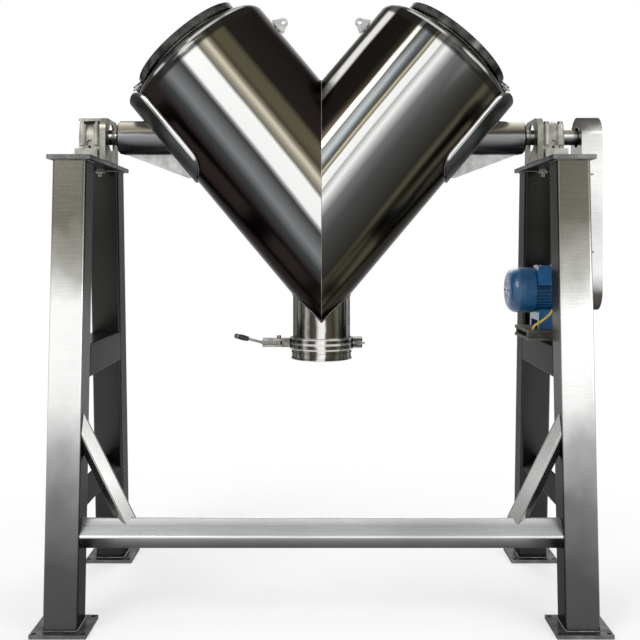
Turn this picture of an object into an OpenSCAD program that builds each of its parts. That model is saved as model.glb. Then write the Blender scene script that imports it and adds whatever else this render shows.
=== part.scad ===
// V-blender on a welded stand: two mitred drums turn about a level trunnion shaft.
// Millimetres, +Z up, origin on the floor under the middle of the shaft.
// X runs along the shaft, the drive is at +X, and -Y is the front.

/* [Vessel] */
// Outside diameter of each leg of the V
leg_d = 530; // [440:2:560]
// Wall of the legs and heads
shell_wall = 4; // [2.5:0.5:8]
// Tilt of each leg from upright
leg_tilt = 40; // [36:1:44]
// Length along the leg from the middle of the mitre to the head
leg_len = 612; // [590:1:630]
// Height of the middle of the mitre below the shaft
mitre_drop = 222; // [205:1:235]
// Radius of the head's knuckle
knuckle_r = 40; // [25:1:50]
// Slope of the head inside the knuckle
head_slope = 20; // [14:1:26]
// Outside diameter of the neck that the cover closes
neck_d = 364; // [320:2:380]
// Height of the neck
neck_h = 8; // [6:1:16]
// Thickness of each clamped flange
flange_t = 7; // [5:0.5:12]
// Reach of each clamped flange past the neck
flange_reach = 12; // [8:1:16]
// Thickness of the soft gaskets
gasket_t = 3; // [2:0.5:5]
// Rise of the domed cover
cover_rise = 28; // [15:1:50]
// Width and wall of the clamp bands
band_wall = 4; // [3:0.5:6]
// Outside diameter of the outlet tube
outlet_d = 190; // [160:2:210]
// Height of the outlet tube's mouth below the shaft
outlet_drop = 679; // [660:1:700]
// Outside diameter of the outlet flanges
outlet_flange_d = 202; // [198:1:230]
// Thickness of each outlet flange
outlet_flange_t = 14; // [8:1:18]
// Depth of the cap that closes the outlet
cap_h = 36; // [25:1:60]

/* [Trunnions] */
// Diameter of the shaft
shaft_d = 50; // [40:1:56]
// Outside diameter of the trunnion sleeve
sleeve_d = 110; // [96:2:120]
// Wall of the trunnion sleeve
sleeve_wall = 10; // [6:1:14]
// Distance from the middle to the sleeve's outer face
sleeve_x = 672; // [660:1:678]
// Length of the saddle pad along the leg
pad_len = 330; // [280:2:350]
// Width of the saddle pad across the leg
pad_w = 330; // [280:2:360]
// Thickness of the saddle pad
pad_t = 8; // [5:0.5:12]
// Distance along the leg to the middle of the pad
pad_at = 490; // [470:1:500]
// Thickness of the gusset under the sleeve
gusset_t = 8; // [5:1:12]

/* [Stand] */
// Height of the shaft above the floor
shaft_h = 1500; // [1440:5:1560]
// Distance from the middle to the middle of each side frame
frame_x = 766; // [760:1:775]
// Side of the square post tube
post_w = 102; // [96:1:106]
// Wall of the post tube
post_wall = 4; // [2:0.5:6]
// Outer corner radius of the post tube
post_corner = 9; // [7:0.5:12]
// Lean of the posts in the side view
post_lean = 4.2; // [3:0.1:5]
// Clear gap between front and rear post under the top plate
post_gap = 334; // [310:2:350]
// Width of the top plate
top_w = 132; // [126:1:140]
// Depth of the top plate
top_depth = 560; // [550:2:590]
// Thickness of the top plate
top_t = 14; // [10:1:18]
// Width of the foot plate
foot_w = 166; // [156:2:180]
// Depth of the foot plate
foot_depth = 152; // [146:2:170]
// Thickness of the foot plate
foot_t = 12; // [8:1:16]
// Diameter of the anchor hole
anchor_d = 13; // [10:1:14]
// Distance from the anchor hole to the plate's edge
anchor_edge = 12; // [10:1:14]
// Height of the middle of the stretcher
stretcher_h = 280; // [240:5:320]
// Side of the stretcher tube, which stands on its corner
stretcher_w = 68; // [60:1:70]
// Height of the middle of the upper side rail
rail_h = 784; // [740:2:800]
// Height of the middle of the lower side rail
low_rail_h = 346; // [335:1:360]
// Side of the brace tube
brace_w = 44; // [38:1:50]
// Height where the middle of the brace meets the post
brace_top = 575; // [540:5:620]
// Reach of the brace along the stretcher, from the post
brace_reach = 146; // [130:2:170]

/* [Bearings] */
// Height of the shaft above the top plate
bearing_h = 82; // [78:1:90]
// Length of the bearing's foot
bearing_len = 214; // [200:2:240]
// Width of the bearing housing along the shaft
bearing_w = 72; // [64:1:80]
// Radius of the bearing housing
housing_r = 53; // [50:1:58]
// Thickness of the bearing's foot
bearing_foot_t = 36; // [30:1:40]
// Outside diameter of the bearing's outer ring
ring_d = 88; // [84:1:90]
// Distance from the middle to the middle of each bearing
bearing_x = 757; // [752:1:760]
// Depth of the shaft shield, front to back
shield_depth = 190; // [180:2:210]
// Height of the shaft shield above the top plate
shield_h = 139; // [136:1:150]
// Sheet thickness of the shields and the drive guard
sheet_t = 3; // [2:0.5:4]

/* [Drive] */
// Height of the motor axis
motor_h = 994; // [980:2:1010]
// Distance from the middle to the near face of the drive guard
guard_x = 847; // [843:1:852]
// Thickness of the drive guard
guard_t = 68; // [60:1:76]
// Outer radius of the guard's round ends
guard_r = 66; // [64:1:74]
// Diameter of the pulleys
pulley_d = 100; // [90:1:104]
// Width of the pulleys
pulley_w = 34; // [30:1:38]
// Distance from the middle to the motor's fan end
motor_x = 615; // [610:1:622]
// Diameter of the fan cowl
cowl_d = 150; // [140:2:158]
// Diameter of the motor body over its fins
motor_d = 146; // [136:2:152]

/* [Hidden] */
$fn = 72;

over = 1;
run_fit = 0.05;
seat_gap = 0.3;
leg_r = leg_d / 2;
mitre_h = shaft_h - mitre_drop;
neck_r = neck_d / 2;
knuckle_in_r = leg_r - knuckle_r;
knuckle_turn = 90 - head_slope;
knuckle_end_r = knuckle_in_r + knuckle_r * cos(knuckle_turn);
knuckle_end_t = leg_len + knuckle_r * sin(knuckle_turn);
head_t = knuckle_end_t + (knuckle_end_r - neck_r) * tan(head_slope);
neck_t = head_t + neck_h;
flange_r = neck_r + flange_reach;
cover_t = neck_t + flange_t + gasket_t;
pad_r = leg_r + pad_t;
post_run = shaft_h - bearing_h - top_t - foot_t;
top_z = shaft_h - bearing_h;
post_top_z = top_z - top_t;
lean_share = tan(post_lean);
frame_in_x = frame_x - post_w / 2;
outlet_z = shaft_h - outlet_drop;
outlet_r = outlet_d / 2;
outlet_flange_r = outlet_flange_d / 2;
cap_z = outlet_z - gasket_t;

steel = [0.78, 0.78, 0.76];
dark_steel = [0.42, 0.43, 0.44];
cast = [0.72, 0.72, 0.68];
blue = [0.1, 0.3, 0.5];

// Both hands of a thing drawn on the +X side
module both() {
    children();
    mirror([1, 0, 0]) children();
}

// Square tube section with round corners, without offset so that it stays exact
module round_square(w, d, r) {
    square([w - 2 * r, d], center = true);
    square([w, d - 2 * r], center = true);
    for (sx = [-1, 1], sy = [-1, 1])
        translate([sx * (w / 2 - r), sy * (d / 2 - r)]) circle(r);
}

module tube_section(w, wall, r) {
    difference() {
        round_square(w, w, r);
        round_square(w - 2 * wall, w - 2 * wall, r - wall);
    }
}

// Places children in a leg's own frame: +Z along the leg, +X towards the inside of the V
module on_leg(side = 1) {
    translate([0, 0, mitre_h]) mirror([side > 0 ? 0 : 1, 0, 0]) rotate([0, leg_tilt, 0])
        mirror([1, 0, 0]) children();
}

// The half space on one side of the mitre
module half(side = 1) {
    reach = leg_len * 3;
    translate([side > 0 ? 0 : -reach, -reach / 2, mitre_h - reach / 2]) cube(reach);
}

// Vessel

module head_profile(inset) {
    k = knuckle_r - inset;
    steps = 8;
    low = -leg_len;
    slant = (knuckle_in_r + k * cos(knuckle_turn) - neck_r + inset) * tan(head_slope);
    top = leg_len + k * sin(knuckle_turn) + slant;
    polygon(concat(
        [[0, low], [leg_r - inset, low]],
        [for (i = [0:steps]) let (a = knuckle_turn * i / steps)
            [knuckle_in_r + k * cos(a), leg_len + k * sin(a)]],
        [[neck_r - inset, top], [neck_r - inset, neck_t + (inset > 0 ? flange_t + over : 0)],
         [0, neck_t + (inset > 0 ? flange_t + over : 0)]]));
}

module leg_solid(inset) {
    rotate_extrude() head_profile(inset);
}

module leg_shell(side) {
    color(steel) difference() {
        intersection() {
            on_leg(side) union() {
                leg_solid(0);
                translate([0, 0, neck_t]) cylinder(r = flange_r, h = flange_t);
            }
            half(side);
        }
        on_leg(side) leg_solid(shell_wall);
        translate([0, 0, outlet_z]) cylinder(r = outlet_r - shell_wall, h = mitre_h - outlet_z);
    }
}

module left_leg_shell() { leg_shell(-1); }
module right_leg_shell() { leg_shell(1); }

module outlet_tube() {
    color(steel) difference() {
        union() {
            translate([0, 0, outlet_z]) cylinder(r = outlet_r, h = leg_r);
            translate([0, 0, outlet_z]) cylinder(r = outlet_flange_r, h = outlet_flange_t);
        }
        translate([0, 0, outlet_z - over])
            cylinder(r = outlet_r - shell_wall, h = leg_r + 2 * over);
        for (side = [-1, 1]) intersection() {
            on_leg(side) translate([0, 0, -leg_len]) cylinder(r = leg_r, h = 2 * leg_len);
            half(side);
        }
    }
}

module cover(side) {
    dome_r = (pow(neck_r, 2) + pow(cover_rise, 2)) / (2 * cover_rise);
    color(steel) on_leg(side) translate([0, 0, cover_t]) {
        cylinder(r = flange_r, h = flange_t);
        translate([0, 0, flange_t]) intersection() {
            translate([0, 0, cover_rise - dome_r]) sphere(dome_r, $fn = 180);
            cylinder(r = neck_r, h = cover_rise + over);
        }
    }
}

module left_cover() { cover(-1); }
module right_cover() { cover(1); }

module cover_gasket(side) {
    color("white") on_leg(side) translate([0, 0, neck_t + flange_t]) difference() {
        cylinder(r = flange_r - seat_gap, h = gasket_t);
        translate([0, 0, -over]) cylinder(r = neck_r - shell_wall, h = gasket_t + 2 * over);
    }
}

module left_cover_gasket() { cover_gasket(-1); }
module right_cover_gasket() { cover_gasket(1); }

// Split band that holds two flanges together, with a pair of ears for its screw at +X.
// Its floor is z = 0, its flanges fill from lip to height - lip, and core_r clears the neck.
lip_h = 3;
lip_clear = 4;
ear_w = 30;
ear_t = 6;
ear_gap = 8;
screw_d = 8;
screw_out = 20;

module band(inner_r, height, lip_r) {
    difference() {
        union() {
            cylinder(r = inner_r + band_wall, h = height);
            for (s = [-1, 1]) translate([inner_r, s * (ear_gap + ear_t) / 2 - ear_t / 2, 0])
                cube([ear_w + band_wall, ear_t, height]);
        }
        translate([0, 0, lip_h]) cylinder(r = inner_r, h = height - 2 * lip_h);
        translate([0, 0, -over]) cylinder(r = lip_r, h = height + 2 * over);
        translate([0, -ear_gap / 2, -over]) cube([inner_r + ear_w * 2, ear_gap, height + 2 * over]);
        translate([inner_r + band_wall + screw_out, 0, height / 2]) rotate([90, 0, 0])
            cylinder(d = screw_d + 2 * seat_gap, h = ear_w * 2, center = true);
    }
}

cover_band_r = flange_r + seat_gap;
cover_band_h = 2 * flange_t + gasket_t + 2 * lip_h;

module cover_band(side) {
    color(steel) on_leg(side) translate([0, 0, neck_t - lip_h])
        rotate([0, 0, 180]) band(cover_band_r, cover_band_h, neck_r + lip_clear);
}

module left_cover_band() { cover_band(-1); }
module right_cover_band() { cover_band(1); }

// Screw through the two ears, with a plain nut behind and a wing nut in front
wing_reach = 18;
wing_t = 5;
nut_t = 7;
boss_r = 8;
screw_end = ear_gap / 2 + ear_t + 2 * nut_t;

module ear_screw() {
    reach = ear_gap / 2 + ear_t;
    rotate([90, 0, 0]) {
        translate([0, 0, -reach - nut_t]) cylinder(r = boss_r, h = nut_t, $fn = 6);
        translate([0, 0, -reach - nut_t]) cylinder(d = screw_d, h = reach + nut_t + screw_end);
    }
}

module wing_nut() {
    reach = ear_gap / 2 + ear_t + seat_gap;
    rotate([90, 0, 0]) translate([0, 0, reach]) difference() {
        union() {
            cylinder(r = boss_r, h = nut_t);
            translate([-wing_reach, -wing_t / 2, nut_t / 2]) cube([2 * wing_reach, wing_t, nut_t]);
        }
        translate([0, 0, -over]) cylinder(d = screw_d + 2 * run_fit, h = 4 * nut_t);
    }
}

cover_screw_x = cover_band_r + band_wall + screw_out;

module on_cover_screw(side) {
    on_leg(side) translate([-cover_screw_x, 0, neck_t - lip_h + cover_band_h / 2]) children();
}

module band_screws() {
    color(cast) {
        for (side = [-1, 1]) on_cover_screw(side) ear_screw();
        translate([outlet_screw_x, 0, band_mid_z]) ear_screw();
    }
}

module left_cover_wing_nut() { color(cast) on_cover_screw(-1) wing_nut(); }
module right_cover_wing_nut() { color(cast) on_cover_screw(1) wing_nut(); }
module outlet_wing_nut() { color(cast) translate([outlet_screw_x, 0, band_mid_z]) wing_nut(); }

// Outlet

module outlet_gasket() {
    color("white") translate([0, 0, cap_z]) difference() {
        cylinder(r = outlet_flange_r - seat_gap, h = gasket_t);
        translate([0, 0, -over]) cylinder(r = outlet_r - shell_wall, h = gasket_t + 2 * over);
    }
}

cap_wall = 5;
cap_r = outlet_flange_r - lip_h;

module outlet_cap() {
    color(steel) translate([0, 0, cap_z - outlet_flange_t]) difference() {
        union() {
            cylinder(r = outlet_flange_r, h = outlet_flange_t);
            translate([0, 0, -cap_h]) cylinder(r = cap_r, h = cap_h);
        }
        translate([0, 0, cap_wall - cap_h])
            cylinder(r = outlet_r - shell_wall, h = cap_h + outlet_flange_t);
    }
}

outlet_band_r = outlet_flange_r + seat_gap;
outlet_band_h = 2 * outlet_flange_t + gasket_t + 2 * lip_h;
outlet_band_z = cap_z - outlet_flange_t - lip_h;
outlet_screw_x = outlet_band_r + band_wall + screw_out;
band_mid_z = outlet_band_z + outlet_band_h / 2;

module outlet_band() {
    color(steel) translate([0, 0, outlet_band_z])
        band(outlet_band_r, outlet_band_h, cap_r + seat_gap);
}

// Forked block of the toggle clamp on the band's -X side
block_len = 90;
block_w = 34;
block_h = 28;
block_x = outlet_band_r + band_wall;
fork_len = 66;
fork_gap = 12;
pivot_d = 10;
pivot_in = 36;
pivot_at = block_x + pivot_in;

module clamp_block() {
    color(cast) difference() {
        translate([-block_x - block_len, -block_w / 2, band_mid_z - block_h / 2])
            cube([block_len, block_w, block_h]);
        translate([-block_x - block_len - over, -block_w, band_mid_z - fork_gap / 2])
            cube([fork_len + over, 2 * block_w, fork_gap]);
        translate([-pivot_at, 0, band_mid_z - block_h])
            cylinder(d = pivot_d + 2 * run_fit, h = 2 * block_h);
        translate([0, 0, outlet_band_z - over])
            cylinder(r = outlet_band_r + band_wall, h = outlet_band_h + 2 * over);
    }
}

arm_w = 16;
arm_len = 60;
arm_hub_d = 22;
grip_small_d = 12;
lever_d = 9;
lever_len = 46;
grip_len = 40;
grip_d = 17;
lever_rise = 14;
pivot_head = 15;
pivot_head_h = 9;

module clamp_lever() {
    arm_h = fork_gap - 2 * seat_gap;
    color(dark_steel) translate([-pivot_at, 0, band_mid_z]) {
        translate([0, 0, -arm_h / 2]) cylinder(d = arm_hub_d, h = arm_h);
        translate([-arm_len, -arm_w / 2, -arm_h / 2]) cube([arm_len, arm_w, arm_h]);
        translate([0, 0, -block_h / 2]) cylinder(d = pivot_d, h = block_h + pivot_head_h);
        translate([0, 0, block_h / 2 + seat_gap]) cylinder(d = pivot_head, h = pivot_head_h);
        translate([lever_d / 2 - arm_len, 0, 0]) rotate([0, lever_rise - 90, 0]) {
            cylinder(d = lever_d, h = lever_len);
            translate([0, 0, lever_len]) cylinder(d1 = grip_small_d, d2 = grip_d, h = grip_len);
            translate([0, 0, lever_len + grip_len]) sphere(d = grip_d);
        }
    }
}

// Lifting and carrying pieces of the vessel

lug_at = 545;
lug_w = 62;
lug_h = 42;
lug_t = 10;
lug_hole_d = 14;
lug_tip_r = 15;

module lifting_lugs() {
    color(steel) both() on_leg() difference() {
        translate([leg_r, 0, lug_at]) rotate([90, 0, 0]) linear_extrude(lug_t, center = true)
            difference() {
                union() {
                    polygon([[-over, -lug_w / 2], [lug_h - lug_tip_r, -lug_tip_r],
                             [lug_h - lug_tip_r, lug_tip_r], [-over, lug_w / 2]]);
                    translate([lug_h - lug_tip_r, 0]) circle(lug_tip_r);
                }
                translate([lug_h - lug_tip_r, 0]) circle(d = lug_hole_d);
            }
        cylinder(r = leg_r, h = 2 * leg_len);
    }
}

pad_corner = 60;

module saddle_pad(side) {
    color(steel) on_leg(side) intersection() {
        translate([0, 0, pad_at]) rotate([0, -90, 0]) linear_extrude(pad_r)
            round_square(pad_len, pad_w, pad_corner);
        difference() {
            cylinder(r = pad_r, h = 2 * leg_len);
            translate([0, 0, -over]) cylinder(r = leg_r, h = 2 * leg_len + 2 * over);
        }
    }
}

module left_saddle_pad() { saddle_pad(-1); }
module right_saddle_pad() { saddle_pad(1); }

// What the drum and its pad take up, to cut pieces that are welded on
module padded_leg() {
    on_leg() cylinder(r = pad_r, h = 2 * leg_len);
}

sleeve_in_x = 420;
sleeve_edge = 6;

module trunnion_sleeves() {
    bore_r = sleeve_d / 2 - sleeve_wall;
    color(steel) both() difference() {
        translate([sleeve_in_x, 0, shaft_h]) rotate([0, 90, 0]) rotate_extrude()
            polygon([[0, 0], [sleeve_d / 2, 0],
                     [sleeve_d / 2, sleeve_x - sleeve_in_x - sleeve_edge],
                     [sleeve_d / 2 - sleeve_edge, sleeve_x - sleeve_in_x],
                     [0, sleeve_x - sleeve_in_x]]);
        translate([sleeve_in_x, 0, shaft_h]) rotate([0, 90, 0])
            cylinder(r = bore_r, h = sleeve_x - sleeve_in_x - sleeve_wall * 2);
        translate([sleeve_in_x, 0, shaft_h]) rotate([0, 90, 0]) cylinder(d = shaft_d, h = leg_len);
        padded_leg();
    }
}

gusset_foot_x = 444;
gusset_foot_drop = 134;
gusset_tip_drop = 52;
gusset_back_x = 360;

module trunnion_gussets() {
    color(steel) both() difference() {
        translate([0, gusset_t / 2, shaft_h]) rotate([90, 0, 0]) linear_extrude(gusset_t)
            polygon([[sleeve_x - sleeve_edge * 2, -gusset_tip_drop], [gusset_foot_x, -gusset_foot_drop],
                     [gusset_back_x, -gusset_foot_drop], [gusset_back_x, 0],
                     [sleeve_x - sleeve_edge * 2, 0]]);
        padded_leg();
        translate([gusset_back_x - over, 0, shaft_h]) rotate([0, 90, 0])
            cylinder(d = sleeve_d, h = leg_len);
    }
}

shaft_in = 96;
shaft_short = 6;
shaft_in_x = sleeve_x - shaft_in;
shaft_out_x = bearing_x + bearing_w / 2 - shaft_short;
drive_out_x = guard_x + guard_t - sheet_t - shaft_short;

module stub(x0, x1) {
    translate([x0, 0, shaft_h]) rotate([0, 90, 0]) cylinder(d = shaft_d, h = x1 - x0);
}

module left_stub_shaft() {
    color(steel) mirror([1, 0, 0]) stub(shaft_in_x, shaft_out_x);
}

module right_drive_shaft() {
    color(steel) stub(shaft_in_x, drive_out_x);
}

// Stand

// Front post of the +X frame: a leaning tube cut level at the plate and the floor plate
module post(front) {
    y = front * (post_gap + post_w) / 2;
    color(steel) intersection() {
        translate([frame_x, y, post_top_z]) rotate([front * post_lean, 0, 0])
            translate([0, 0, -post_run - post_w]) linear_extrude(post_run + 2 * post_w)
                tube_section(post_w, post_wall, post_corner);
        translate([0, -shaft_h, foot_t])
            cube([2 * frame_x, 2 * shaft_h, post_top_z - foot_t]);
    }
}

module right_front_post() { post(-1); }
module right_rear_post() { post(1); }
module left_front_post() { mirror([1, 0, 0]) post(-1); }
module left_rear_post() { mirror([1, 0, 0]) post(1); }

// Gap between the posts' facing sides at a height
function gap_half(z) = post_gap / 2 + post_w / 2 - post_w / 2 / cos(post_lean)
    + (post_top_z - z) * lean_share;
// Middle of a post at a height
function post_y(z) = (post_gap + post_w) / 2 + (post_top_z - z) * lean_share;

// The space between the two posts of a frame, as a wedge
module between_posts() {
    translate([frame_x - post_w, 0, 0]) rotate([90, 0, 90]) linear_extrude(2 * post_w)
        polygon([[-gap_half(0), 0], [gap_half(0), 0],
                 [gap_half(post_top_z), post_top_z], [-gap_half(post_top_z), post_top_z]]);
}

module foot_plates() {
    y = post_y(foot_t);
    color(steel) for (sx = [-1, 1], sy = [-1, 1]) translate([sx * frame_x, sy * y, 0]) difference() {
        translate([-foot_w / 2, -foot_depth / 2, 0]) cube([foot_w, foot_depth, foot_t]);
        for (hx = [-1, 1], hy = [-1, 1])
            translate([hx * (foot_w / 2 - anchor_edge), hy * (foot_depth / 2 - anchor_edge), -over])
                cylinder(d = anchor_d, h = foot_t + 2 * over);
    }
}

bearing_bolt_d = 14;
bolt_head_d = 25;
bolt_head_h = 10;
bolt_tail = 28;
bearing_bolt_inset = 20;
bearing_bolt_at = bearing_len / 2 - bearing_bolt_inset;

module top_plates() {
    color(steel) both() difference() {
        translate([frame_x - top_w / 2, -top_depth / 2, post_top_z]) cube([top_w, top_depth, top_t]);
        for (s = [-1, 1]) translate([bearing_x, s * bearing_bolt_at, post_top_z - over])
            cylinder(d = bearing_bolt_d + 2 * seat_gap, h = top_t + 2 * over);
    }
}

module upper_side_rails() {
    color(steel) both() intersection() {
        translate([frame_x, shaft_h / 2, rail_h]) rotate([90, 0, 0])
            linear_extrude(shaft_h) tube_section(post_w, post_wall, post_corner);
        between_posts();
    }
}

rail_corner = 6;

module lower_side_rails() {
    color(steel) both() intersection() {
        translate([frame_x, shaft_h / 2, low_rail_h]) rotate([90, 0, 0])
            linear_extrude(shaft_h) rotate(45) tube_section(stretcher_w, post_wall, rail_corner);
        between_posts();
    }
}

stretcher_y = -post_y(stretcher_h);

module stretcher() {
    color(steel) translate([-frame_in_x, stretcher_y, stretcher_h]) rotate([0, 90, 0])
        linear_extrude(2 * frame_in_x) rotate(45) tube_section(stretcher_w, post_wall, rail_corner);
}

// Diagonal brace from the post down to the ridge of the stretcher
module stretcher_braces() {
    rise = brace_top - stretcher_h;
    lean = atan2(brace_reach, rise);
    run = rise / cos(lean);
    y = -(post_y(stretcher_h) + post_y(brace_top)) / 2;
    color(steel) both() difference() {
        translate([frame_in_x, y, brace_top]) rotate([0, lean, 0]) translate([0, 0, -run])
            linear_extrude(run + post_w) rotate(45) tube_section(brace_w, post_wall, rail_corner);
        translate([frame_in_x, -shaft_h, 0]) cube([frame_x, 2 * shaft_h, shaft_h]);
        translate([0, stretcher_y, stretcher_h]) rotate([0, 90, 0]) linear_extrude(frame_x)
            rotate(45) round_square(stretcher_w, stretcher_w, rail_corner);
        translate([0, -shaft_h, 0]) cube([frame_x, 2 * shaft_h, stretcher_h]);
    }
}

// Bearings and shields

seal_t = 4;
foot_nose = 8;

module on_bearing() {
    both() translate([bearing_x, 0, shaft_h]) children();
}

module housing_solid(top) {
    rotate([0, 90, 0]) cylinder(r = housing_r, h = bearing_w, center = true);
    if (!top) translate([-bearing_w / 2, -housing_r, -bearing_h]) cube([bearing_w, 2 * housing_r, bearing_h]);
}

// Stepped bore: the outer ring's seat in the middle, clearance for the shaft at the ends
module housing_bore() {
    rotate([0, 90, 0]) {
        cylinder(d = ring_d, h = ring_seat, center = true);
        cylinder(d = shaft_d + seal_t, h = bearing_w + 2 * over, center = true);
    }
}

slot_w = 22;
slot_h = 34;
cap_bolt_x = 23;
cap_bolt_y = 52;
cap_ear_h = 38;
base_ear_h = 30;
cap_bolt_d = 9;
cap_ear_r = 11;
cap_bolt_head_d = 17;

module at_cap_bolts() {
    for (sx = [-1, 1], sy = [-1, 1]) translate([sx * cap_bolt_x, sy * cap_bolt_y, 0]) children();
}

module cap_ears(z, h) {
    at_cap_bolts() translate([0, 0, z]) cylinder(r = cap_ear_r, h = h);
}

module cap_bolt_holes() {
    at_cap_bolts() translate([0, 0, -base_ear_h]) cylinder(d = cap_bolt_d, h = 2 * bearing_h);
}

module bearing_bases() {
    color(cast) on_bearing() difference() {
        union() {
            housing_solid(false);
            translate([-bearing_w / 2, -bearing_len / 2, -bearing_h])
                cube([bearing_w, bearing_len, bearing_foot_t]);
            cap_ears(-base_ear_h, base_ear_h);
        }
        housing_bore();
        cap_bolt_holes();
        translate([-bearing_w, -bearing_len, 0]) cube([2 * bearing_w, 2 * bearing_len, bearing_h]);
        for (s = [-1, 1]) {
            translate([0, s * bearing_bolt_at, -bearing_h - over])
                cylinder(d = bearing_bolt_d + 2 * seat_gap, h = bearing_h);
            translate([0, s * (housing_r + over), bearing_foot_t - bearing_h]) rotate([90, 0, 0])
                linear_extrude(2 * foot_nose, center = true) {
                    translate([-slot_w / 2, 0]) square([slot_w, slot_h - slot_w / 2]);
                    translate([0, slot_h - slot_w / 2]) circle(d = slot_w);
                }
        }
    }
}

module bearing_caps() {
    color(cast) on_bearing() difference() {
        union() {
            housing_solid(true);
            cap_ears(0, cap_ear_h);
        }
        housing_bore();
        cap_bolt_holes();
        translate([-bearing_w, -bearing_len, -bearing_h]) cube([2 * bearing_w, 2 * bearing_len, bearing_h]);
    }
}

module cap_bolts() {
    color(dark_steel) on_bearing() at_cap_bolts() {
        translate([0, 0, cap_ear_h]) cylinder(d = cap_bolt_head_d, h = cap_bolt_d, $fn = 6);
        translate([0, 0, -base_ear_h + cap_bolt_d]) cylinder(d = cap_bolt_d, h = base_ear_h + cap_ear_h);
    }
}

ring_seat = bearing_w - 4 * seal_t;
race_t = 6;
race_out_r = ring_d / 2 - race_t;
race_in_r = shaft_d / 2 + race_t - over;
roller_r = (race_out_r - race_in_r - run_fit) / 2;
roller_count = 12;
roller_len = 36;

module ring(outer_r, inner_r, width) {
    color(steel) on_bearing() rotate([0, 90, 0]) difference() {
        cylinder(r = outer_r, h = width, center = true);
        cylinder(r = inner_r, h = width + 2 * over, center = true);
    }
}

module bearing_outer_rings() { ring(ring_d / 2, race_out_r, ring_seat); }
module bearing_inner_rings() { ring(race_in_r, shaft_d / 2, ring_seat - 4 * seat_gap); }

module bearing_rollers() {
    color(steel) on_bearing() rotate([0, 90, 0]) for (i = [0:roller_count - 1])
        rotate(360 * i / roller_count) translate([race_in_r + roller_r, 0, 0])
            cylinder(r = roller_r, h = roller_len, center = true);
}

module bearing_bolts() {
    color(dark_steel) both() for (s = [-1, 1]) translate([bearing_x, s * bearing_bolt_at, top_z]) {
        translate([0, 0, -top_t - bolt_tail]) cylinder(d = bearing_bolt_d, h = top_t + bolt_tail + bearing_foot_t);
        translate([0, 0, bearing_foot_t]) cylinder(d = bolt_head_d, h = bolt_head_h, $fn = 6);
        translate([0, 0, -top_t - bearing_bolt_d]) cylinder(d = bolt_head_d, h = bearing_bolt_d, $fn = 6);
    }
}

shield_corner = 38;
shield_flange = 19;
shield_hole_d = 90;
shield_in_x = frame_x - top_w / 2 - sheet_t;

// Outline of a shield: square at the foot, round at the shoulders
module shield_outline(inset) {
    w = shield_depth - 2 * inset;
    r = shield_corner - inset;
    h = shield_h - inset;
    translate([-w / 2, 0]) square([w, h - r]);
    translate([-w / 2 + r, 0]) square([w - 2 * r, h]);
    for (s = [-1, 1]) translate([s * (w / 2 - r), h - r]) circle(r);
}

module shield() {
    translate([shield_in_x, 0, top_z]) rotate([90, 0, 90]) difference() {
        linear_extrude(shield_flange) shield_outline(0);
        translate([0, -over, sheet_t]) linear_extrude(shield_flange) shield_outline(sheet_t);
        translate([0, bearing_h, -over]) cylinder(d = shield_hole_d, h = shield_flange);
    }
}

module right_shaft_shield() { color(cast) shield(); }

hood_len = 96;
hood_h = 9;

module left_shaft_shield() {
    color(cast) mirror([1, 0, 0]) {
        shield();
        translate([shield_in_x + shield_flange, -shield_depth / 2 + shield_corner, top_z + shield_h - sheet_t])
            cube([hood_len - shield_flange, shield_depth - 2 * shield_corner, sheet_t]);
        for (s = [-1, 1]) translate([shield_in_x + shield_flange,
            s * (shield_depth / 2 - shield_corner - sheet_t / 2) - sheet_t / 2,
            top_z + shield_h - hood_h])
            cube([hood_len - shield_flange, sheet_t, hood_h]);
    }
}

// Drive

guard_drop = shaft_h - motor_h;

module guard_outline(r) {
    circle(r);
    translate([-r, -guard_drop]) square([2 * r, guard_drop]);
    translate([0, -guard_drop]) circle(r);
}

// Y to the right and Z up in the sketch, thickness along +X
module on_guard(x) {
    translate([x, 0, shaft_h]) rotate([90, 0, 90]) children();
}

guard_hole_d = 66;

module guard_back() {
    color(steel) on_guard(guard_x) difference() {
        linear_extrude(sheet_t) guard_outline(guard_r - sheet_t);
        for (z = [0, -guard_drop]) translate([0, z, -over]) cylinder(d = guard_hole_d, h = sheet_t + 2 * over);
    }
}

module guard_cover() {
    color(steel) on_guard(guard_x) difference() {
        linear_extrude(guard_t) guard_outline(guard_r);
        translate([0, 0, -over]) linear_extrude(guard_t - sheet_t + over) guard_outline(guard_r - sheet_t);
    }
}

guard_screw_d = 8;
guard_screw_h = 4;
guard_screw_shares = [0.25, 0.75];

module guard_screws() {
    color(dark_steel) for (s = guard_screw_shares, side = [-1, 1])
        translate([guard_x + guard_t / 2, side * guard_r, shaft_h - s * guard_drop])
            rotate([-90 * side, 0, 0]) cylinder(d = guard_screw_d, h = guard_screw_h);
}

groove_count = 2;
groove_w = 10;
groove_h = 8;
groove_floor_share = 0.6;
belt_proud = 2;
pulley_x = guard_x + (guard_t - pulley_w) / 2;

module pulley(bore_d, z) {
    pitch = pulley_w / groove_count;
    on_guard(pulley_x) translate([0, z - shaft_h, 0]) difference() {
        rotate_extrude() polygon(concat(
            [[bore_d / 2, 0], [pulley_d / 2, 0]],
            [for (i = [0:groove_count - 1], p = [[0, -1], [1, -groove_floor_share], [1, groove_floor_share], [0, 1]])
                [pulley_d / 2 - p[0] * groove_h, pitch * (i + 0.5) + p[1] * groove_w / 2]],
            [[pulley_d / 2, pulley_w], [bore_d / 2, pulley_w]]));
    }
}

gear_shaft_d = 30;

module shaft_pulley() { color(dark_steel) pulley(shaft_d, shaft_h); }
module motor_pulley() { color(dark_steel) pulley(gear_shaft_d, motor_h); }

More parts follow.
